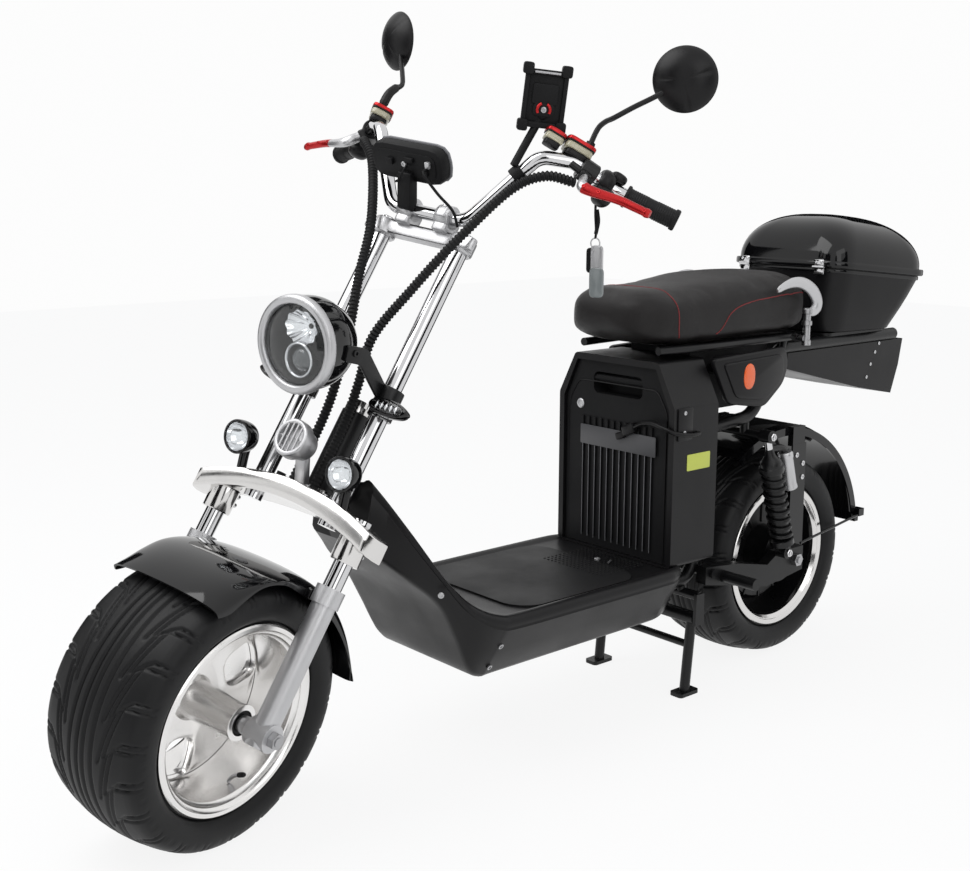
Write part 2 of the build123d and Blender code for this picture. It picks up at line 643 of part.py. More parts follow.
with BuildPart() as deck_mat:
    with BuildSketch(Plane.XY.offset(DECK_Z - 6)):
        with Locations((mat_x, 0)):
            RectangleRounded(330 - 2 * SEAT_GAP, 2 * DECK_HALF - 60 - 2 * SEAT_GAP, 60 - SEAT_GAP)
    extrude(amount=8)

# Frame
seat_rail_z = SEAT_BASE - SEAT_RAIL_R - SEAT_GAP
rail_z = CASE_Z - 8 - RAIL_R + 2
tail_x = CASE_X - 165
with BuildPart() as frame:
    with BuildSketch(steering.offset(HEAD_BOTTOM)):
        Circle(HEAD_R)
    extrude(amount=HEAD_TOP - HEAD_BOTTOM)
    with BuildSketch(Plane.XZ.offset(-22)):
        with BuildLine():
            Polyline(NECK_LOW, (nose_x + 240, 548), (nose_x + 184, 652), (nose_x + 182, 600), NECK_HIGH, close=True)
        make_face()
    extrude(amount=44)
    for side in (1, -1):
        round_tube([(DECK_REAR - SEAT_GAP, side * RAIL_Y, 240), (PIVOT_X + 10, side * RAIL_Y, 240),
                    (PIVOT_X + 10, side * RAIL_Y, 560), (120, side * RAIL_Y, 575), (40, side * RAIL_Y, rail_z),
                    (tail_x, side * RAIL_Y, rail_z)], [50, 50, 60, 60], RAIL_R)
        straight_bar((SHOCK_TOP[0], side * RAIL_Y, SHOCK_TOP[1]), (SHOCK_TOP[0], side * RAIL_Y, 575), 10)
        with BuildSketch(Plane.XZ.offset(-side * (STAND_LEG_Y + 19) - 4)):
            with BuildLine():
                Polyline((STAND_X - 14, STAND_Z - 12), (STAND_X + 14, STAND_Z - 12), (STAND_X + 12, 222),
                         (STAND_X - 12, 222), close=True)
            make_face()
        extrude(amount=8)
        round_tube([(440, side * 106, seat_rail_z), (300, side * 122, seat_rail_z),
                    (4, side * 118, seat_rail_z)], [300], SEAT_RAIL_R)
        straight_bar((40, side * 112, rail_z), (40, side * 118, seat_rail_z), 7)
    straight_bar((STAND_X, -STAND_LEG_Y - 20, 216), (STAND_X, STAND_LEG_Y + 20, 216), 10)
    straight_bar((STAND_X, -RAIL_Y, 216), (STAND_X, -RAIL_Y, 240), 10)
    straight_bar((STAND_X, RAIL_Y, 216), (STAND_X, RAIL_Y, 240), 10)
    straight_bar((STAND_X, -STAND_LEG_Y - 22, STAND_Z), (STAND_X, STAND_LEG_Y + 22, STAND_Z), AXLE_R)
    straight_bar((PIVOT_X, -ARM_Y - ARM_T - 8, PIVOT_Z), (PIVOT_X, ARM_Y + ARM_T + 8, PIVOT_Z), 10)
    straight_bar((SHOCK_TOP[0], 14 - SHOCK_Y, SHOCK_TOP[1]), (SHOCK_TOP[0], SHOCK_Y - 14, SHOCK_TOP[1]), 8)
    with BuildSketch(Plane.XY.offset(CASE_Z - 8)):
        with Locations((CASE_X, 0)):
            RectangleRounded(240, 2 * RAIL_Y + 20, 20)
            Rectangle(150, 120, mode=Mode.SUBTRACT)
    extrude(amount=8 - SEAT_GAP)
    with BuildSketch(steering.offset(HEAD_BOTTOM - 60)):
        Circle(STEM_R + RUNNING_GAP)
    extrude(amount=HEAD_TOP - HEAD_BOTTOM + 120, mode=Mode.SUBTRACT)
    with BuildSketch(steering.offset(HEAD_BOTTOM)):
        Circle(60)
    extrude(amount=-60, mode=Mode.SUBTRACT)

# Battery housing and the pack that slides into it
pack_x = BOX_FRONT - 8
with BuildPart() as battery_housing:
    with BuildSketch(Plane.YZ.offset(BOX_FRONT - BOX_DEPTH)):
        with BuildLine():
            FilletPolyline((-BOX_HALF, DECK_Z), (BOX_HALF, DECK_Z), (BOX_HALF, BOX_SHOULDER), (BOX_CHAMFER_Y, BOX_TOP),
                           (-BOX_CHAMFER_Y, BOX_TOP), (-BOX_HALF, BOX_SHOULDER), radius=12, close=True)
        make_face()
    extrude(amount=BOX_DEPTH)
    with BuildSketch(Plane.YZ.offset(BOX_FRONT)):
        with BuildLine():
            Polyline((BOX_WALL - BOX_HALF, DECK_Z + 4), (BOX_HALF - BOX_WALL, DECK_Z + 4),
                     (BOX_HALF - BOX_WALL, BOX_SHOULDER - 6), (BOX_CHAMFER_Y - 6, BOX_TOP - BOX_WALL),
                     (6 - BOX_CHAMFER_Y, BOX_TOP - BOX_WALL), (BOX_WALL - BOX_HALF, BOX_SHOULDER - 6), close=True)
        make_face()
    extrude(amount=-BOX_DEPTH + BOX_WALL, mode=Mode.SUBTRACT)

with BuildPart() as battery_pack:
    with BuildSketch(Plane.YZ.offset(pack_x)):
        with BuildLine():
            Polyline((BOX_WALL - BOX_HALF, DECK_Z + 4), (BOX_HALF - BOX_WALL, DECK_Z + 4),
                     (BOX_HALF - BOX_WALL, BOX_SHOULDER - 6), (BOX_CHAMFER_Y - 6, BOX_TOP - BOX_WALL),
                     (6 - BOX_CHAMFER_Y, BOX_TOP - BOX_WALL), (BOX_WALL - BOX_HALF, BOX_SHOULDER - 6), close=True)
        make_face()
        offset(amount=-PACK_GAP)
    extrude(amount=-(BOX_DEPTH - BOX_WALL - 8 - PACK_GAP))
    with BuildSketch(Plane.YZ.offset(pack_x)):
        with Locations((0, 456)):
            with GridLocations(18, 1, 12, 1):
                Rectangle(7, 260)
    extrude(amount=4)
    with BuildSketch(Plane.YZ.offset(pack_x)):
        with Locations((0, 662)):
            RectangleRounded(140, 46, 14)
    extrude(amount=-40, mode=Mode.SUBTRACT)
    straight_bar((pack_x - 10, -72, 672), (pack_x - 10, 72, 672), 8)

under_top = seat_rail_z - SEAT_RAIL_R - SEAT_GAP
under_half = RAIL_Y - RAIL_R - SEAT_GAP
with BuildPart() as under_seat:
    with BuildSketch(Plane.XZ.offset(-under_half)):
        with BuildLine():
            Polyline((60, 640), (120, 600), (BOX_FRONT - BOX_DEPTH - SEAT_GAP, 600), (BOX_FRONT - BOX_DEPTH - SEAT_GAP, under_top),
                     (60, under_top), close=True)
        make_face()
    extrude(amount=2 * under_half)

with BuildPart() as side_covers:
    for side in (1, -1):
        with BuildSketch(Plane.XZ.offset(-side * 145 - 7)):
            with BuildLine():
                FilletPolyline((324, 722), (268, 622), (146, 602), (80, 650), (66, 690), (78, 730), radius=14, close=True)
            make_face()
        extrude(amount=14)
    chamfer(side_covers.faces().sort_by(Axis.Y)[0].edges() + side_covers.faces().sort_by(Axis.Y)[-1].edges(), 5)
    for side in (1, -1):
        for boss_x in (250, 130):
            straight_bar((boss_x, side * (under_half + SEAT_GAP), 690), (boss_x, side * 140, 690), 9)

with BuildPart() as side_reflectors:
    for side in (1, -1):
        with BuildSketch(Plane.XZ.offset(-side * 155.3 - 3)):
            with Locations((207, 676)):
                Ellipse(19, 28)
        extrude(amount=6)

with BuildPart() as seat:
    with BuildSketch(Plane.XZ.offset(-150)):
        with BuildLine():
            Polyline((SEAT_FRONT, 800), (SEAT_FRONT - 16, 850), (SEAT_FRONT - 60, SEAT_TOP), (200, SEAT_TOP + 12),
                     (40, SEAT_TOP + 12), (SEAT_REAR + 16, SEAT_TOP - 6), (SEAT_REAR, 830), (SEAT_REAR + 8, SEAT_BASE + 6),
                     (SEAT_FRONT - 40, SEAT_BASE), close=True)
        make_face()
    extrude(amount=300)
    with BuildSketch(Plane.XY.offset(SEAT_BASE - 10)):
        with BuildLine():
            Polyline((SEAT_FRONT + 2, -70), (SEAT_FRONT + 2, 70), (440, 122), (200, 146), (0, 146), (SEAT_REAR - 2, 100),
                     (SEAT_REAR - 2, -100), (0, -146), (200, -146), (440, -122), close=True)
        make_face()
    extrude(amount=200, mode=Mode.INTERSECT)

with BuildPart() as grab_arms:
    for side in (1, -1):
        with BuildSketch(Plane.XZ.offset(-side * 156 - 9)):
            with BuildLine():
                FilletPolyline((132, 884), (70, 884), (14, 870), (-24, 840), (-32, 806), (-4, 796), (16, 806), (16, 826),
                               (50, 850), (90, 864), (132, 868), radius=7, close=True)
            make_face()
        extrude(amount=18)
        straight_bar((14, side * 156, 836), (14, side * 156, seat_rail_z - 8), 8)
        straight_bar((21, side * 156, seat_rail_z), (21, side * (118 + SEAT_RAIL_R + SEAT_GAP), seat_rail_z), 7)



def case_outline(share, shrink):
    """A plan of the case, narrower in front, its length a share of the full length."""
    long = CASE_LEN * share
    wide = CASE_HALF * share - shrink
    with BuildSketch() as outline:
        with BuildLine():
            FilletPolyline((long / 2, 0.78 * wide), (-long / 2, wide), (-long / 2, -wide), (long / 2, -0.78 * wide),
                           radius=0.19 * long, close=True)
        make_face()
    return outline.sketch


split = Plane(origin=(CASE_X, 0, CASE_SPLIT), x_dir=(1, 0, LID_SLOPE), z_dir=(-LID_SLOPE, 0, 1))
with BuildPart() as case_base:
    loft([Plane.XY.offset(CASE_Z).move(Location((CASE_X + 8, 0, 0))) * case_outline(0.8, 10), split * case_outline(1, 0)])
    offset(amount=-CASE_WALL, openings=case_base.faces().sort_by(Axis.Z)[-1])

# Columns: height above the split, share of the length, taken off the half width
LID_SECTIONS = [(18, 1, 0), (58, 0.93, 0), (98, 0.74, 0), (CASE_TOP - CASE_SPLIT, 0.42, 0)]
with BuildPart() as case_lid:
    extrude(split.offset(SEAT_GAP) * case_outline(1.02, 0), amount=18)
    loft([split.offset(up) * case_outline(share, shrink) for up, share, shrink in LID_SECTIONS])
    offset(amount=-CASE_WALL, openings=case_lid.faces().sort_by(Axis(split.origin, split.z_dir))[0])

panel_top = rail_z - RAIL_R - SEAT_GAP
with BuildPart() as tail_panel:
    with BuildSketch(Plane.XZ.offset(-104)):
        with BuildLine():
            Polyline((8, panel_top), (-453, panel_top), (-440, 640), (-414, 572), (-270, 600), (8, 668), close=True)
        make_face()
    extrude(amount=208)
    with BuildSketch(Plane.XZ.offset(-100)):
        with BuildLine():
            Polyline((9, panel_top - 4), (-438, panel_top - 4), (-426, 640), (-402, 586), (-270, 606), (9, 674), close=True)
        make_face()
    extrude(amount=200, mode=Mode.SUBTRACT)

with BuildPart() as tail_lamp:
    with BuildSketch(Plane(origin=(-446.8, 0, 670), x_dir=(0, 1, 0), z_dir=(-0.98, 0, -0.2))):
        RectangleRounded(150, 40, 12)
    extrude(amount=18)

# Rear suspension
with BuildPart() as swingarm:
    for side in (1, -1):
        with BuildSketch(Plane.XZ.offset(-side * (ARM_Y + ARM_T / 2) - ARM_T / 2)):
            with BuildLine():
                Polyline((PIVOT_X + 20, PIVOT_Z + 16), (PIVOT_X + 20, PIVOT_Z - 22), (100, 190), (-30, 206),
                         (-30, 262), (60, 262), (100, 240), (200, 262), close=True)
            make_face()
            with Locations((0, AXLE_Z)):
                Circle(AXLE_R + RUNNING_GAP, mode=Mode.SUBTRACT)
            with Locations((PIVOT_X, PIVOT_Z)):
                Circle(10 + RUNNING_GAP, mode=Mode.SUBTRACT)
        extrude(amount=ARM_T)

with BuildPart() as rear_axle_bolt:
    with BuildSketch(Plane.XZ.offset(-160)):
        with Locations((0, AXLE_Z)):
            Circle(AXLE_R)
    extrude(amount=320)
    for side in (1, -1):
        with BuildSketch(Plane.XZ.offset(-side * (ARM_Y + ARM_T + SEAT_GAP + 6) - 6)):
            with Locations((0, AXLE_Z)):
                RegularPolygon(15, 6)
        extrude(amount=12)
        spacer = ARM_Y - HUB_END - 2 * SEAT_GAP
        with BuildSketch(Plane.XZ.offset(-side * (HUB_END + SEAT_GAP + spacer / 2) - spacer / 2)):
            with Locations((0, AXLE_Z)):
                Circle(SPACER_R)
        extrude(amount=spacer)

shock_way = Vector(SHOCK_TOP[0] - SHOCK_FOOT[0], 0, SHOCK_TOP[1] - SHOCK_FOOT[1]).normalized()
with BuildPart() as shock_bodies:
    for side in (1, -1):
        foot = Vector(SHOCK_FOOT[0], side * SHOCK_Y, SHOCK_FOOT[1])
        top = Vector(SHOCK_TOP[0], side * SHOCK_Y, SHOCK_TOP[1])
        straight_bar(foot, top, 9)
        straight_bar(foot + shock_way * 20, foot + shock_way * 35.2, 27)
        tank = foot + Vector(-46, 0, 30)
        straight_bar(tank + shock_way * 118, tank + shock_way * 208, TANK_R)
        straight_bar(tank + shock_way * 203, top - shock_way * 30, 9)
        straight_bar(foot + shock_way * (45 + (SPRING_TURNS - 1) * SPRING_PITCH), top - shock_way * 58, 27)
        for end in (foot, top):
            straight_bar(end - Vector(0, side * (14 - SEAT_GAP), 0), end + Vector(0, side * 14, 0), 14)

with BuildPart() as shock_springs:
    for side in (1, -1):
        foot = Vector(SHOCK_FOOT[0], side * SHOCK_Y, SHOCK_FOOT[1])
        with BuildSketch(Plane(origin=foot, x_dir=(shock_way.Z, 0, -shock_way.X), z_dir=(0, -1, 0))):
            with Locations(*[(22.5, 40 + turn * SPRING_PITCH) for turn in range(SPRING_TURNS)]):
                Circle(4.5)
            with Locations((20.5, 40 + (SPRING_TURNS - 1) * SPRING_PITCH / 2)):
                Rectangle(3, (SPRING_TURNS - 1) * SPRING_PITCH)
        revolve(axis=Axis(foot, shock_way))

fender_start = radians(FENDER_LEAD)
skirt_z = AXLE_Z + FENDER_R - 24
fender_end = FENDER_R * sin(radians(FENDER_SWEEP - FENDER_LEAD))
fender_end_z = AXLE_Z + FENDER_R * cos(radians(FENDER_SWEEP - FENDER_LEAD))
with BuildPart() as rear_fender:
    with BuildSketch(Plane((0, 0, AXLE_Z), x_dir=(0, 1, 0), z_dir=(cos(fender_start), 0, -sin(fender_start)))):
        with BuildLine():
            half = [(FENDER_HALF, FENDER_R - 24), (FENDER_HALF, FENDER_R - 6), (FENDER_HALF - 20, FENDER_R),
                    (0, FENDER_R)]
            inner = [(0, FENDER_R - FENDER_T), (FENDER_HALF - 21, FENDER_R - FENDER_T),
                     (FENDER_HALF - FENDER_T, FENDER_R - 9), (FENDER_HALF - FENDER_T, FENDER_R - 24)]
            Polyline(*half, *inner, close=True)
        make_face()
        mirror(about=Plane.YZ)
    revolve(axis=Axis((0, 0, AXLE_Z), (0, -1, 0)), revolution_arc=FENDER_SWEEP)
    for side in (1, -1):
        with BuildSketch(Plane.XZ.offset(-side * (ARM_Y - SEAT_GAP - STAY_T / 2) - STAY_T / 2)):
            with BuildLine():
                Polyline((-62, 250), (-24, 250), (-8, 275), (-10, skirt_z - 20), (-60, skirt_z - 20), close=True)
            make_face()
        extrude(amount=STAY_T)
        with BuildSketch(Plane.XZ.offset(-side * (FENDER_HALF + 4.2) - 7.2)):
            with Locations((-32, skirt_z - 2)):
                Rectangle(44, 44)
        extrude(amount=14.4)
        with Locations((10 - fender_end, side * (FENDER_HALF + 7), fender_end_z + 6)):
            Box(20, 22, 18)
        straight_bar((6 - fender_end, side * (ARM_Y + 2), fender_end_z + 2), (-56, side * (ARM_Y - 0.5), 257), 3)
    with Locations((-fender_end - 4.6, 0, fender_end_z - 8)):
        Box(14, 2 * FENDER_HALF - 10, 30)

with BuildPart() as rear_caliper:
    with BuildSketch(Plane.XZ.offset(ARM_Y - SEAT_GAP - 20)):
        with Locations((104, AXLE_Z - 6)):
            RectangleRounded(42, 46, 9)
    extrude(amount=20)

with BuildPart() as rear_pegs:
    for side in (1, -1):
        straight_bar((PIVOT_X - 40, side * (ARM_Y + ARM_T + SEAT_GAP), PIVOT_Z - 14), (PIVOT_X - 40, side * 232, PIVOT_Z - 14), 13)

# Centre stand
with BuildPart() as centre_stand:
    straight_bar((STAND_X, -STAND_LEG_Y - 12, STAND_Z), (STAND_X, STAND_LEG_Y + 12, STAND_Z), 14)
    for side in (1, -1):
        straight_bar((STAND_X, side * STAND_LEG_Y, STAND_Z), (STAND_X + STAND_LEAD, side * STAND_LEG_Y, GROUND + 4), STAND_R)
        with BuildSketch(Plane.XY.offset(GROUND)):
            with Locations((STAND_X + STAND_LEAD, side * STAND_LEG_Y)):
                RectangleRounded(60, 34, 8)
        extrude(amount=8)
    straight_bar((STAND_X + 6, -STAND_LEG_Y, STAND_Z - 60), (STAND_X + 6, STAND_LEG_Y, STAND_Z - 60), 8)
    with BuildSketch(Plane.XZ.offset(-STAND_LEG_Y - 13)):
        with Locations((STAND_X, STAND_Z)):
            Circle(AXLE_R + RUNNING_GAP)
    extrude(amount=2 * STAND_LEG_Y + 26, mode=Mode.SUBTRACT)

chassis = dict(deck_body=deck_body, deck_mat=deck_mat, frame=frame, battery_housing=battery_housing,
               battery_pack=battery_pack, under_seat=under_seat, side_covers=side_covers,
               side_reflectors=side_reflectors, seat=seat, grab_arms=grab_arms, case_base=case_base,
               case_lid=case_lid, tail_panel=tail_panel, tail_lamp=tail_lamp, swingarm=swingarm,
               rear_axle_bolt=rear_axle_bolt, shock_bodies=shock_bodies, shock_springs=shock_springs,
               rear_fender=rear_fender, rear_caliper=rear_caliper, rear_pegs=rear_pegs,
               centre_stand=centre_stand)
steered = dict(fork_lowers=fork_lowers, fork_tubes=fork_tubes, front_axle=front_axle, lower_yoke=lower_yoke,
               upper_yoke=upper_yoke, handlebar=handlebar, grips=grips, bar_controls=bar_controls,
               brake_levers=brake_levers, mirrors=mirrors, headlight_shell=headlight_shell,
               headlight_ring=headlight_ring, lamp_lenses=lamp_lenses, horn=horn, fog_lamps=fog_lamps,
               turn_signals=turn_signals, front_fender=front_fender, display=display,
               phone_holder=phone_holder, cable_sleeves=cable_sleeves, key_fobs=key_fobs,
               front_caliper=front_caliper)
front_wheel = dict(front_tyre=front_tyre, front_rim=front_rim, front_disc=front_disc)
rear_wheel = dict(rear_tyre=rear_tyre, rear_rim=rear_rim, rear_disc=rear_disc, hub_motor=hub_motor.part)

os.makedirs("parts", exist_ok=True)
to_ground = Location((-ORIGIN_X, -ORIGIN_Y, -GROUND))
placed = {name: to_ground * piece.part for name, piece in chassis.items()}
placed.update({name: to_ground * fork.location * piece.part for name, piece in steered.items()})
placed.update({name: to_ground * fork.location * piece for name, piece in front_wheel.items()})
placed.update({name: to_ground * rear_axle.location * piece for name, piece in rear_wheel.items()})
for name, piece in placed.items():
    piece.label = name
    export_step(piece, f"parts/{name}.step")
whole = Compound(children=list(placed.values())).bounding_box()
print("box", whole.min, whole.max, len(placed))
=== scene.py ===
"""Looks of the electric motor scooter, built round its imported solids.

Shapes are worked out in millimetres in three local frames and placed in the row frame in metres:
the chassis (X forward, Y left, Z up from 235 mm under the rear axle), the fork (origin on the
front axle, X ahead, Y left, Z up the fork) and the rear axle.
"""

import logging
import math
from dataclasses import dataclass
from enum import Enum

import bmesh
import bpy
import numpy as np
from mathutils import Matrix, Vector
from mathutils.bvhtree import BVHTree


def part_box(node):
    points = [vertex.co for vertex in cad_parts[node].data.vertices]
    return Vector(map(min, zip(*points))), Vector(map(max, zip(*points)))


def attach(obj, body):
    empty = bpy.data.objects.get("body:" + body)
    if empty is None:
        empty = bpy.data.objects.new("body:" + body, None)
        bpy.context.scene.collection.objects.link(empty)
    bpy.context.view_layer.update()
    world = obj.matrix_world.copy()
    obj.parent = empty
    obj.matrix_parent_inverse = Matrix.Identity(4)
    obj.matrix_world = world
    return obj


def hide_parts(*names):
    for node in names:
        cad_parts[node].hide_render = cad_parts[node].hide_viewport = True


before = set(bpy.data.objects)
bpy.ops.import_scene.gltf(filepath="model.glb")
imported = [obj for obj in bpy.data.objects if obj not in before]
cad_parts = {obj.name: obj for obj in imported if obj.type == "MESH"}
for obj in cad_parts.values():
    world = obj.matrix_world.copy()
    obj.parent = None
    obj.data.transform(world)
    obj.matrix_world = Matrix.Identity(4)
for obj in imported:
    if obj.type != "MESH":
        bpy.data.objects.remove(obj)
LOG = logging.getLogger("scooter")
Array = np.ndarray
Triple = tuple[float, float, float] | Array
RAKE_DEGREES = 32.6
RAKE = math.radians(RAKE_DEGREES)
TURN = math.radians(16.5)
AXLE_HIGH = 0.235
TUBE_Y = 87.0
BAR_BORE = 12.7
AHEAD, LEFT, UP = (1, 0, 0), (0, 1, 0), (0, 0, 1)
Tree, Socket = bpy.types.NodeTree, bpy.types.NodeSocket


class Body(str, Enum):
    """The bodies that pieces ride on."""

    CHASSIS = "chassis"
    STEERING = "steering"
    FRONT = "front_wheel"
    REAR = "rear_wheel"
    LID = "case_lid"


@dataclass(frozen=True)
class Local:
    """A right-handed local frame: its origin in metres, its unit directions and its body."""

    origin: Array
    ahead: Array
    left: Array
    up: Array
    body: Body

    def place(self, points: Array) -> Array:
        """Turns points in millimetres in this frame into metres in the row frame."""
        p = np.asarray(points, float) * 0.001
        return self.origin + p[..., :1] * self.ahead + p[..., 1:2] * self.left + p[..., 2:3] * self.up

    def at(self, point: Triple, pitch: float = 0.0) -> "Local":
        """A frame at a point of this one, its nose dropped by pitch degrees.

        Args:
            point: new origin in millimetres in this frame.
            pitch: turn about the left direction that lowers the ahead direction.

        Returns:
            The new frame.
        """
        a = math.radians(pitch)
        ahead = self.ahead * math.cos(a) - self.up * math.sin(a)
        up = self.up * math.cos(a) + self.ahead * math.sin(a)
        return Local(self.place(point), ahead, self.left, up, self.body)

    def facing(self, point: Triple, normal: Triple,
               side: Triple = (0.9, 0.3, 0.2)) -> "Local":
        """A frame at a point of this one whose left direction is a normal.

        Args:
            point: new origin in millimetres in this frame.
            normal: the new left direction, in this frame.
            side: a direction in this frame that the new ahead direction leans to.

        Returns:
            The new frame.
        """
        basis = np.array([self.ahead, self.left, self.up])
        left = np.array(normal, float) @ basis
        left /= np.linalg.norm(left)
        near = np.array(side, float) @ basis
        ahead = near - left * (near @ left)
        ahead /= np.linalg.norm(ahead)
        return Local(self.place(point), ahead, left, np.cross(ahead, left), self.body)

    def upright(self, point: Triple) -> "Local":
        """A frame at a point of this one whose left direction is this one's up."""
        return Local(self.place(point), self.ahead, self.up, -self.left, self.body)

    def nose(self) -> "Local":
        """This frame, turned so that its left direction looks ahead."""
        return Local(self.origin, -self.left, self.ahead, self.up, self.body)


def centre_of(node: str) -> Array:
    """Middle of a CAD node's box, in metres."""
    low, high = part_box(node)
    return (np.array(low) + np.array(high)) / 2


def local_frames() -> tuple[Local, Local, Local]:
    """The chassis, fork and rear axle frames, read from the two tyres."""
    x, y, z = np.eye(3)
    rear = centre_of("rear_tyre")
    rake_ahead = x * math.cos(RAKE) + z * math.sin(RAKE)
    up_fork = z * math.cos(RAKE) - x * math.sin(RAKE)
    turned = rake_ahead * math.cos(TURN) + y * math.sin(TURN)
    fork_left = y * math.cos(TURN) - rake_ahead * math.sin(TURN)
    fork = Local(centre_of("front_tyre"), turned, fork_left, up_fork, Body.STEERING)
    chassis = Local(rear - [0, 0, AXLE_HIGH], x, y, z, Body.CHASSIS)
    return chassis, fork, Local(rear, x, y, z, Body.REAR)


CHASSIS, FORK, AXLE = local_frames()


# Shader node groups


def new_group(name: str, inputs: dict[str, tuple[str, float]],
              output: tuple[str, str]) -> tuple[Tree, bpy.types.NodeOutputs, Socket]:
    """An empty shader group with one output.

    Args:
        name: the group's name.
        inputs: socket name to (socket type, default).
        output: its output's name and socket type.

    Returns:
        The node tree, the sockets that bring its inputs and the socket that takes its output.
    """
    tree = bpy.data.node_groups.new(name, "ShaderNodeTree")
    for label, (kind, value) in inputs.items():
        socket = tree.interface.new_socket(label, in_out="INPUT", socket_type=kind)
        if kind == "NodeSocketFloat":
            socket.default_value = value
    tree.interface.new_socket(output[0], in_out="OUTPUT", socket_type=output[1])
    given, out = tree.nodes.new("NodeGroupInput"), tree.nodes.new("NodeGroupOutput")
    return tree, given.outputs, out.inputs[0]


def feed(tree: Tree, socket: Socket, value: Socket | float) -> None:
    """Gives a socket its number, or links another socket to it."""
    if isinstance(value, float):
        socket.default_value = value
    else:
        tree.links.new(value, socket)


def noise(tree: Tree, vector: Socket, scale: Socket | float, detail: float) -> bpy.types.Node:
    """A noise texture in the tree that reads a vector socket and a scale socket or number."""
    node = tree.nodes.new("ShaderNodeTexNoise")
    node.inputs["Detail"].default_value = detail
    feed(tree, node.inputs["Vector"], vector)
    feed(tree, node.inputs["Scale"], scale)
    return node


def spread(tree: Tree, value: Socket, low: Socket | float, high: Socket | float, a: float,
           b: float) -> Socket:
    """Maps value from the span a to b onto low to high and returns the result socket."""
    node = tree.nodes.new("ShaderNodeMapRange")
    for name, given in (("From Min", a), ("From Max", b), ("Value", value), ("To Min", low),
                        ("To Max", high)):
        feed(tree, node.inputs[name], given)
    return node.outputs["Result"]


def maths(tree: Tree, operation: str, *values: Socket | float) -> Socket:
    """The result socket of an operation on sockets and numbers."""
    node = tree.nodes.new("ShaderNodeMath")
    node.operation = operation
    for socket, value in zip(node.inputs, values):
        feed(tree, socket, value)
    return node.outputs[0]


F, V, C = "NodeSocketFloat", "NodeSocketVector", "NodeSocketColor"


def make_smudge() -> Tree:
    """Soft patches between two values, for roughness."""
    tree, given, out = new_group("smudge",
                                 {"Vector": (V, 0), "Scale": (F, 9), "Low": (F, 0.2), "High": (F, 0.4)},
                                 ("Value", F))
    wide = noise(tree, given["Vector"], given["Scale"], 5.0)
    tree.links.new(spread(tree, wide.outputs["Fac"], given["Low"], given["High"], 0.3, 0.7),
                   out)
    return tree


def make_grain() -> Tree:
    """A fine moulded grain as a height."""
    tree, given, out = new_group("grain", {"Vector": (V, 0), "Scale": (F, 900)}, ("Height", F))
    fine = noise(tree, given["Vector"], given["Scale"], 2.0)
    tree.links.new(fine.outputs["Fac"], out)
    return tree


def make_pebble() -> Tree:
    """Leather pebbles: rounded cells as a height."""
    tree, given, out = new_group("pebble", {"Vector": (V, 0), "Scale": (F, 420)}, ("Height", F))
    bend = noise(tree, given["Vector"], 60.0, 2.0)
    mix = tree.nodes.new("ShaderNodeMix")
    mix.data_type = "VECTOR"
    mix.inputs["Factor"].default_value = 0.01
    tree.links.new(given["Vector"], mix.inputs[4])
    tree.links.new(bend.outputs["Color"], mix.inputs[5])
    cells = tree.nodes.new("ShaderNodeTexVoronoi")
    cells.feature = "DISTANCE_TO_EDGE"
    tree.links.new(mix.outputs[1], cells.inputs["Vector"])
    tree.links.new(given["Scale"], cells.inputs["Scale"])
    height = spread(tree, cells.outputs["Distance"], 0.0, 1.0, 0.0, 0.25)
    tree.links.new(height, out)
    return tree


def make_tint() -> Tree:
    """A colour that wanders a little darker and lighter over the surface."""
    tree, given, out = new_group("tint",
                                 {"Vector": (V, 0), "Scale": (F, 14), "Colour": (C, 0),
                                  "Amount": (F, 0.2)}, ("Colour", C))
    patch = noise(tree, given["Vector"], given["Scale"], 6.0)
    centred = maths(tree, "SUBTRACT", patch.outputs["Fac"], 0.5)
    level = maths(tree, "MULTIPLY_ADD", centred, given["Amount"], 1.0)
    scaled = tree.nodes.new("ShaderNodeVectorMath")
    scaled.operation = "SCALE"
    tree.links.new(given["Colour"], scaled.inputs[0])
    tree.links.new(level, scaled.inputs["Scale"])
    tree.links.new(scaled.outputs[0], out)
    return tree


def make_streaks() -> Tree:
    """The faint unevenness of worked metal as a height."""
    tree, given, out = new_group("streaks", {"Vector": (V, 0), "Scale": (F, 300)}, ("Height", F))
    lines = noise(tree, given["Vector"], given["Scale"], 3.0)
    tree.links.new(lines.outputs["Fac"], out)
    return tree


class Relief(Enum):
    """What the surface has in relief."""

    SMOOTH = "smooth"
    GRAIN = "grain"
    PEBBLE = "pebble"
    STREAKS = "streaks"


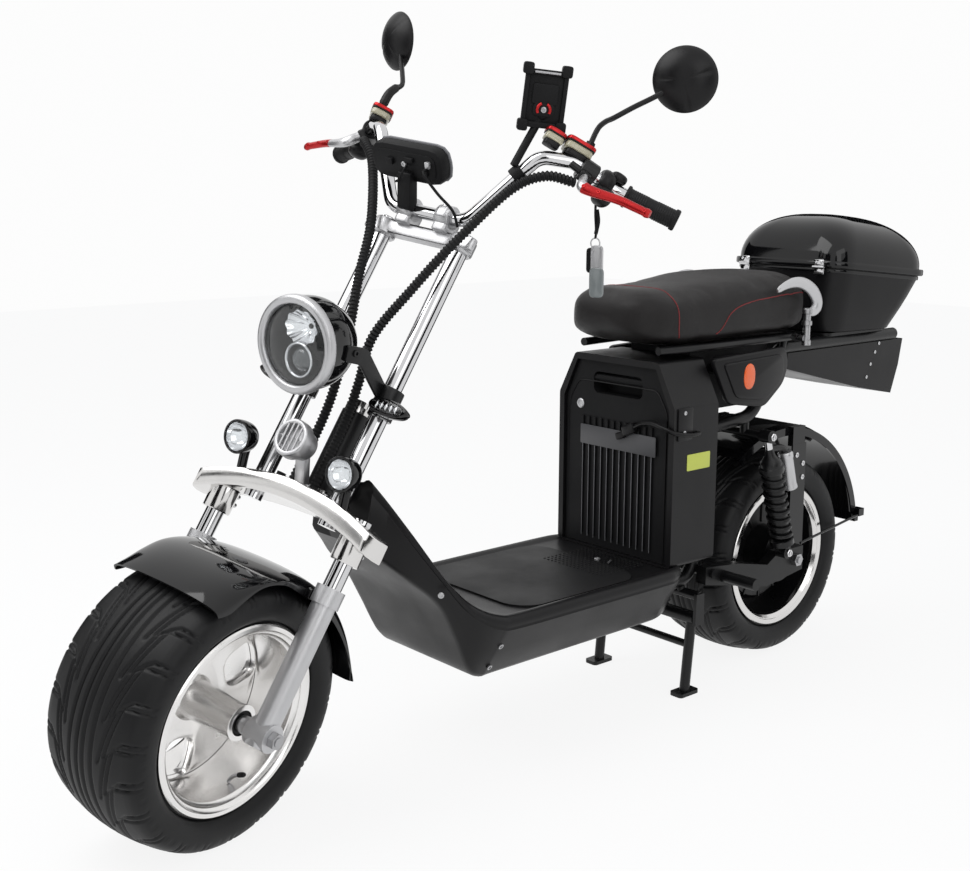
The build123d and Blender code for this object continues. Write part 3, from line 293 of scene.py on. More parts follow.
@dataclass(frozen=True)
class Finish:
    """A surface finish and the numbers that its material takes."""

    name: str
    colour: Triple
    rough: tuple[float, float] = (0.3, 0.4)
    metal: float = 0.0
    relief: Relief = Relief.GRAIN
    scale: float = 900.0
    depth: float = 0.05
    variation: float = 0.25
    specular: float = 0.5
    coat: float = 0.0
    clear: float = 0.0
    glow: float = 0.0
    slot: str = ""

    def make(self, groups: dict[str, Tree]) -> bpy.types.Material:
        """Builds the material from the shared groups.

        Args:
            groups: the node groups by name.

        Returns:
            The Blender material.
        """
        material = bpy.data.materials.new(self.name)
        material.use_nodes = True
        tree = material.node_tree
        shader = tree.nodes["Principled BSDF"]
        where = tree.nodes.new("ShaderNodeTexCoord").outputs["Object"]

        def place(group: str) -> bpy.types.Node:
            """Adds a shared group that reads the object's own coordinates."""
            node = tree.nodes.new("ShaderNodeGroup")
            node.node_tree = groups[group]
            tree.links.new(where, node.inputs["Vector"])
            return node

        tint = place("tint")
        tint.inputs["Colour"].default_value = (*self.colour, 1)
        tint.inputs["Amount"].default_value = self.variation
        tree.links.new(tint.outputs["Colour"], shader.inputs["Base Color"])
        smudge = place("smudge")
        smudge.inputs["Low"].default_value, smudge.inputs["High"].default_value = self.rough
        tree.links.new(smudge.outputs["Value"], shader.inputs["Roughness"])
        shader.inputs["Metallic"].default_value = self.metal
        shader.inputs["Specular IOR Level"].default_value = self.specular
        shader.inputs["Coat Weight"].default_value = self.coat
        shader.inputs["Coat Roughness"].default_value = 0.04
        if self.relief is not Relief.SMOOTH:
            relief = place(self.relief.value)
            relief.inputs["Scale"].default_value = self.scale
            bump = tree.nodes.new("ShaderNodeBump")
            bump.inputs["Strength"].default_value = self.depth
            bump.inputs["Distance"].default_value = 0.0006
            tree.links.new(relief.outputs["Height"], bump.inputs["Height"])
            tree.links.new(bump.outputs["Normal"], shader.inputs["Normal"])
        if self.clear:
            shader.inputs["Transmission Weight"].default_value = self.clear
            shader.inputs["IOR"].default_value = 1.45
        # Emission here paints light into a part that is no lamp: the orange reflectors' glow.
        if self.glow:
            shader.inputs["Emission Color"].default_value = (*self.colour, 1)
            shader.inputs["Emission Strength"].default_value = self.glow
        return material


GLOSS = Finish("gloss_black_paint", (0.003, 0.003, 0.0035), (0.05, 0.11), relief=Relief.SMOOTH,
               specular=0.3, coat=0.2, slot="gloss_black")
SATIN = Finish("satin_black_moulding", (0.0065, 0.0062, 0.0068), (0.3, 0.44), scale=1400, depth=0.16,
               specular=0.24, slot="satin_black")
MATTE = Finish("matt_black_moulding", (0.006, 0.006, 0.0066), (0.5, 0.64), scale=1100, depth=0.2,
               specular=0.2, slot="satin_black")
POWDER = Finish("black_powder_coat", (0.006, 0.006, 0.0065), (0.28, 0.4), scale=1500, depth=0.12,
                specular=0.3, slot="frame_black")
CHROME = Finish("bright_chrome", (0.62, 0.62, 0.63), (0.04, 0.1), 1.0, Relief.SMOOTH, variation=0.05,
                slot="chrome")
POLISHED = Finish("polished_alloy", (0.7, 0.69, 0.68), (0.1, 0.2), 1.0, Relief.STREAKS, 220, 0.05, 0.1,
                  slot="polished")
CAST = Finish("silver_lacquered_casting", (0.56, 0.56, 0.57), (0.3, 0.46), 0.85, Relief.GRAIN, 700, 0.3, 0.18,
              slot="cast_alloy")
MACHINED = Finish("machined_alloy", (0.82, 0.81, 0.8), (0.18, 0.3), 1.0, Relief.STREAKS, 260, 0.12, 0.12,
                  slot="polished")
BLACK_ALLOY = Finish("black_painted_alloy", (0.006, 0.006, 0.0065), (0.25, 0.4), relief=Relief.GRAIN,
                     scale=900, depth=0.12, specular=0.35, slot="black_alloy")
STEEL = Finish("ground_steel", (0.42, 0.42, 0.43), (0.24, 0.4), 1.0, Relief.STREAKS, 500, 0.12, 0.2,
               slot="steel")
RUBBER = Finish("tyre_rubber", (0.009, 0.009, 0.0095), (0.42, 0.58), scale=700, depth=0.22, variation=0.4,
                specular=0.24, slot="tyre")
GRIP_RUBBER = Finish("grip_rubber", (0.006, 0.006, 0.0065), (0.46, 0.6), scale=900, depth=0.2, specular=0.25,
                     slot="grip")
MAT = Finish("ribbed_mat_rubber", (0.0075, 0.0075, 0.008), (0.46, 0.62), scale=500, depth=0.3,
             specular=0.25, slot="mat")
LEATHER = Finish("grained_cover", (0.011, 0.0095, 0.0095), (0.4, 0.52), relief=Relief.PEBBLE, scale=460,
                 depth=0.35, variation=0.3, specular=0.25, slot="leather")
THREAD = Finish("red_thread", (0.22, 0.012, 0.014), (0.6, 0.75), scale=1600, depth=0.5, slot="leather")
# The orange reflector's glow is painted light: an emission, though the reflector is no lamp.
ORANGE = Finish("orange_reflector", (0.85, 0.12, 0.012), (0.12, 0.2), relief=Relief.PEBBLE, scale=260,
                depth=0.9, coat=0.5, glow=0.12, slot="orange")
RED_LENS = Finish("red_lens", (0.3, 0.008, 0.008), (0.1, 0.18), relief=Relief.PEBBLE, scale=220, depth=0.8,
                  coat=0.6, slot="red_lens")
RED_METAL = Finish("red_anodised_alloy", (0.5, 0.014, 0.016), (0.2, 0.3), 0.6, Relief.GRAIN, 800, 0.08, 0.12,
                   slot="red_metal")
CLEAR = Finish("clear_lens", (0.93, 0.95, 0.96), (0.02, 0.05), relief=Relief.SMOOTH, variation=0.02,
               clear=1.0, slot="clear")
# Grey of the display's bezel, also used as painted highlight on the battery's ridge edges.
GREY = Finish("grey_bezel_and_painted_ridge_highlight", (0.2, 0.2, 0.21), (0.35, 0.5), relief=Relief.GRAIN, scale=1200, depth=0.1,
              slot="satin_black")
TAG = Finish("grey_soft_tag", (0.2, 0.22, 0.22), (0.2, 0.32), relief=Relief.SMOOTH, coat=0.4,
             slot="satin_black")
LABEL = Finish("blank_grey_label", (0.07, 0.07, 0.074), (0.35, 0.5), relief=Relief.SMOOTH, slot="satin_black")
LIME = Finish("blank_lime_sticker", (0.6, 0.66, 0.12), (0.4, 0.55), relief=Relief.SMOOTH, variation=0.06,
              slot="satin_black")
AMBER = Finish("pale_gold_cup", (0.75, 0.7, 0.5), (0.06, 0.16), relief=Relief.SMOOTH, coat=0.6, clear=0.45,
               slot="clear")
BRIGHT = Finish("bright_reflector", (0.85, 0.85, 0.86), (0.06, 0.14), 1.0, Relief.SMOOTH, variation=0.05,
                slot="chrome")
SMOKE = Finish("dark_projector_lens", (0.05, 0.055, 0.06), (0.03, 0.06), relief=Relief.SMOOTH,
               specular=0.7, coat=1.0, slot="clear")


# Meshes


def around(count: int) -> Array:
    """Angles in radians at even steps, once round."""
    return np.linspace(0, 2 * np.pi, count, endpoint=False)


class Shape:
    """Grids of points and their faces, gathered into one mesh in the row frame."""

    def __init__(self, local: Local) -> None:
        """Starts an empty shape in a local frame."""
        self.local = local
        self.body = local.body
        self.points: list[Array] = []
        self.faces: list[list[int]] = []
        self.total = 0

    def grid(self, points: Array, wrap_u: bool = False, wrap_v: bool = False) -> "Shape":
        """Adds a sheet of quads over a (rows, columns, 3) grid, closed in either direction if asked."""
        rows, cols = points.shape[:2]
        a, b = np.meshgrid(np.arange(rows - (not wrap_u)), np.arange(cols - (not wrap_v)), indexing="ij")
        c, d = (a + 1) % rows, (b + 1) % cols
        quads = np.stack([a * cols + b, c * cols + b, c * cols + d, a * cols + d], -1).reshape(-1, 4)
        self.faces += (quads + self.total).tolist()
        self.points.append(self.local.place(points).reshape(-1, 3))
        self.total += rows * cols
        return self

    def tube(self, points: Array) -> "Shape":
        """Adds a grid closed round its columns, with a flat face over its first and last rows."""
        first = self.total
        rows, cols = points.shape[:2]
        self.grid(points, wrap_v=True)
        self.faces.append(list(range(first, first + cols)))
        self.faces.append(list(range(first + (rows - 1) * cols, first + rows * cols)))
        return self

    def lathe(self, profile: Array | list[list[float]], sides: int = 48, closed: bool = False,
              local: Local | None = None) -> "Shape":
        """Adds a surface turned about the frame's left direction.

        Args:
            profile: (n, 2) rows of (radius, place along the axis).
            sides: number of steps round the axis.
            closed: whether the profile's last point joins its first.
            local: the frame to turn it in, if not the shape's own.

        Returns:
            This shape. A point is (r cos t, along, r sin t).
        """
        profile = np.asarray(profile, float)
        t = around(sides)[:, None]
        r, along = profile[None, :, 0], profile[None, :, 1] + 0 * t
        home, self.local = self.local, local or self.local
        self.grid(np.stack([r * np.cos(t), along, r * np.sin(t)], -1), wrap_u=True, wrap_v=closed)
        self.local = home
        return self

    def slab(self, outline: Array, start: float, thick: float, edge: float,
             turn: Array | None = None) -> "Shape":
        """Adds a flat plate with rounded edges.

        Args:
            outline: (n, 2) corners in the plate's plane, in order.
            start: place of its first face along the plate's normal.
            thick: thickness.
            edge: radius that the edges lose.
            turn: 3 by 3 rows giving the plate's two sides and its normal in the local frame.

        Returns:
            This shape. Four copies of the outline, the outer two drawn in by the edge, make the plate.
        """
        after, before = np.roll(outline, -1, 0), np.roll(outline, 1, 0)
        way = after - before
        length = np.maximum(np.linalg.norm(way, axis=1, keepdims=True), 1e-9)
        out = np.stack([way[:, 1], -way[:, 0]], -1) / length
        area = np.sum(outline[:, 0] * after[:, 1] - outline[:, 1] * after[:, 0])
        out *= np.sign(area)
        levels = np.array([[0, edge], [0.3 * edge, 0.3 * edge], [edge, 0], [thick - edge, 0],
                           [thick - 0.3 * edge, 0.3 * edge], [thick, edge]])
        flat = outline[None] - out[None] * levels[:, 1, None, None]
        high = (start + levels[:, 0])[:, None, None] + 0 * flat[..., :1]
        points = np.concatenate([flat, high], -1)
        return self.tube(points if turn is None else points @ turn)

    def bolt(self, point: Triple, normal: Triple, radius: float = 5.0,
             high: float = 3.5, sides: int = 24) -> "Shape":
        """Adds a bolt head with a round socket, standing on a point along a normal."""
        head = np.array([[radius, -1.0], [radius, 0.8 * high], [0.84 * radius, high], [0.52 * radius, high],
                         [0.48 * radius, 0.4 * high], [0.0005, 0.4 * high]])
        return self.lathe(head, sides, local=self.local.facing(point, normal))

    def block(self, point: Triple, size: Triple, edge: float = 1.2,
              normal: Triple = UP, side: Triple = AHEAD,
              corner: float = 3.0) -> "Shape":
        """Adds a box with rounded edges about a point: sizes along side, across it and along normal."""
        base = self.local
        self.local = base.facing(point, normal, side)
        self.slab(box_outline(size[0], size[1], corner, 4), -size[2] / 2, size[2], edge, ACROSS)
        self.local = base
        return self

    def ball(self, point: Triple, size: Triple,
             normal: Triple = UP, side: Triple = AHEAD,
             power: float = 1.0) -> "Shape":
        """Adds a rounded lump about a point.

        Args:
            point: its middle.
            size: half sizes along side, along normal and across both.
            normal: its middle direction.
            side: its first direction.
            power: under 1 for squarer sides.

        Returns:
            This shape. A point is (a cos t cos u, b sin t, c cos t sin u), each factor raised to the power.
        """
        base = self.local
        self.local = base.facing(point, normal, side)
        t = np.linspace(-np.pi / 2, np.pi / 2, 17)[:, None]
        u = around(32)[None]

        def shaped(value: Array) -> Array:
            """The value with its size raised to the power."""
            return np.sign(value) * np.abs(value) ** power

        wide = shaped(np.cos(t))
        self.grid(np.stack([size[0] * wide * shaped(np.cos(u)), size[1] * shaped(np.sin(t)) + 0 * u,
                            size[2] * wide * shaped(np.sin(u))], -1), wrap_v=True)
        self.local = base
        return self

    def rod(self, path: Array, radius: float | Array, sides: int = 12,
            guide: Triple = UP, flat: float = 1.0) -> "Shape":
        """Adds a round bar along a path.

        Args:
            path: (n, 3) points.
            radius: one radius, or one for each point.
            sides: steps round the bar.
            guide: a direction that the path never follows.
            flat: how much wider the bar is along the guide than across it.

        Returns:
            This shape. Each ring is p + r (cos t a + flat sin t b), with a and b square to the path.
        """
        way = np.gradient(path, axis=0)
        way /= np.linalg.norm(way, axis=1, keepdims=True)
        a = np.cross(way, np.array(guide, float))
        a /= np.linalg.norm(a, axis=1, keepdims=True)
        b = np.cross(way, a)
        t = around(sides)[None, :, None]
        r = np.broadcast_to(radius, len(path))[:, None, None]
        return self.tube(path[:, None] + r * (np.cos(t) * a[:, None] + flat * np.sin(t) * b[:, None]))

    def piece(self, name: str, finish: Finish, replaces: str = "", body: Body | None = None,
              crease: float = 38.0) -> bpy.types.Object:
        """Makes the mesh and its object, dresses it and hands it to its body.

        Args:
            name: the piece's name.
            finish: its finish.
            replaces: the CAD node that it stands for, if any.
            body: the body that it rides on, if not its frame's.
            crease: angle in degrees past which an edge stays sharp.

        Returns:
            The object, its place in its mesh.
        """
        mesh = bpy.data.meshes.new(name)
        mesh.from_pydata(np.concatenate(self.points).tolist(), [], self.faces)
        work = bmesh.new()
        work.from_mesh(mesh)
        bmesh.ops.remove_doubles(work, verts=work.verts, dist=2e-6)
        bmesh.ops.dissolve_degenerate(work, edges=work.edges, dist=1e-7)
        bmesh.ops.recalc_face_normals(work, faces=work.faces)
        work.to_mesh(mesh)
        work.free()
        mesh.polygons.foreach_set("use_smooth", [True] * len(mesh.polygons))
        mesh.set_sharp_from_angle(angle=math.radians(crease))
        return dress(add_object(name, mesh), finish, body or self.body, replaces)


def shapes(local: Local, count: int) -> list[Shape]:
    """Several empty shapes in one frame."""
    return [Shape(local) for _ in range(count)]


def add_object(name: str, data: bpy.types.ID) -> bpy.types.Object:
    """A new object that holds the data, in the scene."""
    made = bpy.data.objects.new(name, data)
    bpy.context.scene.collection.objects.link(made)
    return made


def dress(made: bpy.types.Object, finish: Finish, body: Body, replaces: str) -> bpy.types.Object:
    """Gives an object its material and body, and hides the CAD node that it stands for."""
    made.data.materials.clear()
    made.data.materials.append(MATERIALS[finish.name])
    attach(made, body.value)
    if replaces:
        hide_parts(replaces)
    LOG.info("%s: %d faces on %s", made.name, len(made.data.polygons), body.value)
    return made


def soften(points: Array | list[list[float]], radius: float, steps: int = 4, closed: bool = True) -> Array:
    """Rounds the corners of a line of points.

    Args:
        points: (n, d) corners.
        radius: how far from a corner its curve starts.
        steps: points on each corner's curve.
        closed: whether the last point joins the first.

    Returns:
        The rounded line. Each corner p becomes (1-t)^2 a + 2t(1-t) p + t^2 b, a and b on its two sides.
    """
    points = np.asarray(points, float)
    before, after = np.roll(points, 1, 0), np.roll(points, -1, 0)
    back = before - points
    on = after - points
    reach = [np.minimum(radius / np.maximum(np.linalg.norm(side, axis=1, keepdims=True), 1e-9), 0.48)
             for side in (back, on)]
    a, b = points + back * reach[0], points + on * reach[1]
    if not closed:
        a[[0, -1]] = points[[0, -1]]
        b[[0, -1]] = points[[0, -1]]
    t = np.linspace(0, 1, steps)[None, :, None]
    curve = (1 - t) ** 2 * a[:, None] + 2 * t * (1 - t) * points[:, None] + t ** 2 * b[:, None]
    return curve.reshape(-1, points.shape[1])


def smooth(points: list[tuple[float, ...]], count: int) -> Array:
    """A smooth line through the points.

    Args:
        points: the points that it goes through.
        count: how many points to return.

    Returns:
        (count, d) points on cubics whose slope at a point is half the step between its neighbours.
    """
    p = np.array(points, float)
    slope = np.gradient(p, axis=0)
    u = np.linspace(0, len(p) - 1, count)
    i = np.minimum(u.astype(int), len(p) - 2)
    t = (u - i)[:, None]
    return ((2 * t ** 3 - 3 * t ** 2 + 1) * p[i] + (t ** 3 - 2 * t ** 2 + t) * slope[i]
            + (3 * t ** 2 - 2 * t ** 3) * p[i + 1] + (t ** 3 - t ** 2) * slope[i + 1])


def curve(x: Array, xs: list[float], ys: list[float]) -> Array:
    """The smooth line through the points (xs, ys), read at x."""
    line = smooth(list(zip(xs, ys)), 40 * len(xs))
    order = np.argsort(line[:, 0])
    return np.interp(x, line[order, 0], line[order, 1])


def run_along(path: Array) -> Array:
    """Length of the path up to each of its points."""
    return np.concatenate([[0], np.cumsum(np.linalg.norm(np.diff(path, axis=0), axis=1))])


def level_way(yaw: float) -> Array:
    """A level direction in the fork's frame, turned left from ahead by yaw in degrees."""
    a = math.radians(yaw)
    return np.array([math.cos(RAKE) * math.cos(a), math.sin(a), -math.sin(RAKE) * math.cos(a)])


def box_outline(wide: float, high: float, radius: float, steps: int = 6) -> Array:
    """A rectangle with rounded corners about the middle, as (n, 2) points."""
    corners = np.array([[-wide, -high], [wide, -high], [wide, high], [-wide, high]]) / 2
    return soften(corners, radius, steps)


def ring_outline(radius: float, sides: int = 24, squash: float = 1.0) -> Array:
    """A circle or ellipse about the middle, as (n, 2) points."""
    t = around(sides)
    return np.stack([radius * np.cos(t), radius * squash * np.sin(t)], -1)


def unit(way: Triple) -> Array:
    """The direction as a unit vector."""
    way = np.array(way, float)
    return way / np.linalg.norm(way)


def line(start: Triple, end: Triple, count: int = 4) -> Array:
    """Evenly spaced points from start to end."""
    return np.linspace(np.array(start, float), np.array(end, float), count)


def skin(node: str, local: Local, start: Triple, way: Triple) -> tuple[Array, Array]:
    """Where a ray first meets a CAD node.

    Args:
        node: the CAD node.
        local: the frame that the points are given in.
        start: where the ray starts.
        way: its direction.

    Returns:
        The point and the face's outward direction, in that frame.
    """
    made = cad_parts[node]
    turn = made.matrix_world
    tree = BVHTree.FromPolygons([turn @ v.co for v in made.data.vertices],
                                [p.vertices[:] for p in made.data.polygons])
    basis = np.array([local.ahead, local.left, local.up])
    hit, normal, _, _ = tree.ray_cast(Vector(local.place(np.array(start, float))),
                                      Vector(np.array(way, float) @ basis))
    if hit is None:
        raise ValueError(f"no part of {node} lies ahead of {start}")
    normal = basis @ np.array(normal)
    if normal @ np.array(way, float) > 0:
        normal = -normal
    return basis @ (np.array(hit) - local.origin) * 1000, normal


ACROSS = np.array([[1.0, 0, 0], [0, 0, 1.0], [0, 1.0, 0]])
FACING = np.array([[0, 1.0, 0], [0, 0, 1.0], [1.0, 0, 0]])


# Wheels


@dataclass
class Tyre:
    """A fat road tyre with circumferential grooves and cranked shoulder grooves."""

    name: str
    node: str
    body: Body
    local: Local
    radius: float = 238.0
    crown: float = 330.0
    bead: float = 89.7
    lip: float = 168.0
    barrel: float = 150.4
    around: int = 640
    pitches: int = 22

    def profile(self) -> Array:
        """The closed section as (radius, across): crown arc, shoulder, sidewall, bead and inside."""
        tread = np.linspace(0, 86, 58)
        outer = self.radius - self.crown + np.sqrt(self.crown ** 2 - tread ** 2)
        shoulder = smooth([(outer[-1], 86), (223, 95), (217, 102.5), (209, 106.8), (199.9, 108.2),
                           (189, 107.4), (179, 104.2), (self.lip + 3, 97), (self.lip, self.bead)], 30)
        half = np.concatenate([np.stack([outer, tread], -1), shoulder[1:], [[self.barrel, self.bead]]])
        return np.concatenate([half, (half * [1, -1])[:0:-1]])

    def groove(self, along: Array, across: Array) -> Array:
        """Depth of the tread grooves.

        Args:
            along: place round the tyre in millimetres.
            across: distance from the tyre's middle along its skin.

        Returns:
            Depth: round bottoms at the rings, and at pairs of lines that run round, then turn outwards.
        """
        depth = np.zeros_like(along)
        for place, wide, deep in ((7.0, 2.6, 4.5), (25.0, 2.6, 4.5)):
            depth = np.maximum(depth, deep * np.exp(-((np.abs(across) - place) / wide) ** 2))
        pitch = 2 * np.pi * self.radius / self.pitches
        for lead, start in ((0.0, 40.0), (13.0, 51.0)):
            shift = np.where(across > 0, 0.0, pitch / 2) + lead
            turns = (along - shift) / pitch
            for offset in (-1, 0, 1, 2):
                local = (turns - np.floor(turns) + offset) * pitch
                knots = np.array([[0.0, start], [pitch * 1.25, start + 16], [pitch * 1.42, start + 28],
                                  [pitch * 1.5, 116.0]])
                for (x0, y0), (x1, y1) in zip(knots[:-1], knots[1:]):
                    dx, dy = x1 - x0, y1 - y0
                    t = np.clip(((local - x0) * dx + (np.abs(across) - y0) * dy) / (dx * dx + dy * dy), 0, 1)
                    away = np.hypot(local - x0 - t * dx, np.abs(across) - y0 - t * dy)
                    depth = np.maximum(depth, 3.6 * np.exp(-(away / 2.3) ** 2))
        notch = np.exp(-((np.abs(across) - 118) / 6) ** 2) * (np.sin(along / pitch * 6 * np.pi) > 0.2)
        return depth + 1.6 * notch

    def build(self) -> bpy.types.Object:
        """Makes the treaded tyre: the section turned about the axle, drawn in by the groove depth."""
        profile = self.profile()
        top = len(profile) // 2
        run = run_along(profile)
        whole = run[-1] + np.linalg.norm(profile[-1] - profile[0])
        signed = np.where(np.arange(len(profile)) <= top, run, run - whole)
        t = around(self.around)
        along, across = np.meshgrid(t * self.radius, signed, indexing="ij")
        live = (profile[None, :, 0] > 196) * 1.0
        r = profile[None, :, 0] - live * self.groove(along, across)
        angle = t[:, None]
        points = np.stack([r * np.cos(angle), profile[None, :, 1] + 0 * angle, r * np.sin(angle)], -1)
        shape = Shape(self.local).grid(points, wrap_u=True, wrap_v=True)
        return shape.piece(self.name, RUBBER, self.node, self.body, crease=60)


@dataclass
class FrontRim:
    """The machined front rim: deep barrel, plate with three windows and a long hub."""

    flange: float = 166.0
    barrel: float = 150.0
    plate: float = -20.0
    hub: float = 34.0
    hub_end: float = 104.0
    windows: int = 3
    turn: float = 13.5

    def barrel_profile(self) -> Array:
        """The closed section of the barrel as (radius, across), with a stepped lip on both sides."""
        side = np.array([[self.barrel, 90], [self.flange, 90], [self.flange, 96], [self.flange - 3, 98.5],
                         [self.barrel + 6, 98.5], [self.barrel + 3, 94], [self.barrel - 1, 92],
                         [self.barrel - 3, 86], [self.barrel - 7, 83], [self.barrel - 8.5, 70],
                         [self.barrel - 6, 40]])
        return np.concatenate([side, (side * [1, -1])[::-1]])

    def plate_sheet(self, face: float) -> list[Array]:
        """The plate's sheets between each window's outline and its own sector.

        Args:
            face: place of the sheet along the axle.

        Returns:
            One grid for each window: rows go from the window's edge, rolled under, to the sector's outline.
        """
        u = np.linspace(0, 2 * np.pi, 97)
        sector = np.pi / self.windows
        inner, outer = self.hub + 4, self.barrel - 7
        middle, reach = 106.0, 35.0
        power = 0.62
        window = np.stack([middle + reach * np.sign(np.cos(u)) * np.abs(np.cos(u)) ** power,
                           reach * (0.92 + 0.1 * np.cos(u)) * np.sign(np.sin(u))
                           * np.abs(np.sin(u)) ** power], -1)
        window = np.hypot(window[:, 0], window[:, 1]), np.arctan2(window[:, 1], window[:, 0])
        edge = np.arctan2(np.sin(u), np.cos(u))
        side = middle * sector * 0.95
        corner = np.arctan2(side, outer - middle), np.arctan2(side, inner - middle)
        size = np.abs(edge)
        low = np.clip((size - corner[0]) / (corner[1] - corner[0]), 0, 1)
        slant = outer + (inner - outer) * low
        rad = np.where(size < corner[0], outer, np.where(size > corner[1], inner, slant))
        swing = np.where(size < corner[0], size / corner[0],
                         np.where(size > corner[1], (np.pi - size) / (np.pi - corner[1]), 1.0)) * sector
        border = rad, np.sign(edge) * swing
        rows = np.array([0, 0, 0.03, 0.1, 0.2, 0.5, 1.0])[:, None]
        roll = np.array([7, 2.5, -3.5, -4, -1, 0, 0])[:, None] * -np.sign(face - self.plate)
        r = window[0] + (border[0] - window[0]) * rows
        a = window[1] + (border[1] - window[1]) * rows
        sheets = []
        for k in range(self.windows):
            turn = a + 2 * np.pi * k / self.windows + math.radians(self.turn)
            sheets.append(np.stack([r * np.cos(turn), face + roll + 0 * r, r * np.sin(turn)], -1))
        return sheets

    def build(self) -> None:
        """Makes the rim, the hub's dark seals and the valve."""
        shape = Shape(FORK).lathe(self.barrel_profile(), 160, closed=True)
        for face in (self.plate + 8, self.plate - 8):
            for sheet in self.plate_sheet(face):
                shape.grid(sheet)
        hub = np.array([[12, -self.hub_end], [self.hub - 3, -self.hub_end], [self.hub, 3 - self.hub_end],
                        [self.hub, -34], [self.hub + 6, -30], [self.hub + 6, -10], [self.hub, -4],
                        [self.hub - 4, 60], [self.hub - 5, self.hub_end - 8],
                        [self.hub - 3, self.hub_end - 6], [self.hub - 3, self.hub_end - 1],
                        [self.hub - 5, self.hub_end], [22, self.hub_end], [21, self.hub_end - 5],
                        [12, self.hub_end - 5]])
        shape.lathe(hub, 64, closed=True)
        shape.piece("front_rim_machined", MACHINED, "front_rim", Body.FRONT)
        seal = np.array([[9, 92], [21, 92], [21, 100], [19, 102.5], [13, 102.5], [9, 100]])
        Shape(FORK).lathe(seal, 40, closed=True).lathe(seal * [1, -1], 40, closed=True) \
            .piece("front_hub_seals", GRIP_RUBBER, body=Body.FRONT)
        stem = smooth([(-94, 60, -104), (-92, 62, -98), (-88, 70, -90), (-84, 82, -84)], 16)
        Shape(FORK).rod(stem, 3.2, 12).piece("front_valve_stem", STEEL, body=Body.FRONT)
        cap = np.array([(-84.5, 80, -84.5), (-80, 94, -79)])
        Shape(FORK).rod(np.linspace(cap[0], cap[1], 6), np.array([4.2, 4.6, 4.6, 4.6, 4.6, 3.4]), 12) \
            .piece("front_valve_cap", GRIP_RUBBER, body=Body.FRONT)


@dataclass
class RearRim:
    """The painted rear rim round the hub motor, with a bright machined lip."""

    flange: float = 166.0
    barrel: float = 150.0

    def build(self) -> None:
        """Makes the bright lips and the ribs on the motor's covers."""
        lip = np.array([[self.flange - 1, 97.2], [self.flange - 3, 98.8], [self.barrel + 3, 98.8],
                        [self.barrel + 1, 96], [self.barrel - 4, 88], [self.barrel - 4.8, 80],
                        [self.barrel - 6, 80], [self.barrel - 6, 90], [self.barrel, 97.2]])
        shape = Shape(AXLE).lathe(lip, 160, closed=True).lathe(lip * [1, -1], 160, closed=True)
        shape.piece("rear_rim_lips", POLISHED)
        ribs = Shape(AXLE)
        for k in range(12):
            t = 2 * np.pi * k / 12
            turn = np.array([[np.cos(t), 0, np.sin(t)], [-np.sin(t), 0, np.cos(t)], [0, 1.0, 0]])
            ribs.slab(box_outline(44, 7, 3) + [90, 0], 44, 5, 1.5, turn)
            ribs.slab(box_outline(44, 7, 3) + [90, 0], -49, 5, 1.5, turn)
        ribs.piece("motor_cover_ribs", BLACK_ALLOY)


# Fork, lamps and bars


@dataclass
class FrontFender:
    """The gloss mudguard: boxy section, scalloped skirts and pointed rear corners."""

    crown: float = 256.5
    half: float = 119.0
    wall: float = 3.4
    lead: float = 53.5
    tail: float = -59.5

    def skirt(self, angle: Array) -> Array:
        """Radius of the skirt's lower edge at an angle ahead of the fork."""
        return curve(angle, [-62, -58, -45, -28, -8, 6, 18, 30, 40, 47, 52, 56],
                     [262, 254, 238, 227, 224, 226, 238, 240, 230, 224, 229, 238])

    def sheet(self, inset: float) -> Array:
        """The skin as a grid, drawn in by inset.

        Args:
            inset: distance inside the outer skin.

        Returns:
            Rows by angle, columns across. Across is a superellipse from the skirt's edge over the crown.
        """
        angle = np.linspace(self.tail, self.lead, 96)
        edge = self.skirt(angle)[:, None]
        phi = np.linspace(0, np.pi, 61)[None]
        c, s = np.cos(phi), np.sin(phi)
        y = (self.half - inset) * np.sign(c) * np.abs(c) ** 0.42
        dome = np.abs(s) ** 0.5
        r = edge + (self.crown - inset - edge) * dome - 6 * (np.abs(y) / self.half) ** 2 * dome
        a = np.radians(angle)[:, None]
        return np.stack([r * np.sin(a), y + 0 * a, r * np.cos(a)], -1)

    def build(self) -> None:
        """Makes the skin as an outer and inner sheet closed at their edges, with a lug on each side."""
        both = np.concatenate([self.sheet(0), self.sheet(self.wall)[:, ::-1]], 1)
        shape = Shape(FORK).tube(both)
        for side in (1, -1):
            shape.slab(box_outline(24, 18, 4) + [0, 233], side * 120 - 4.6, 9.2, 1, ACROSS)
        shape.piece("front_fender_skin", GLOSS, "front_fender", crease=50)


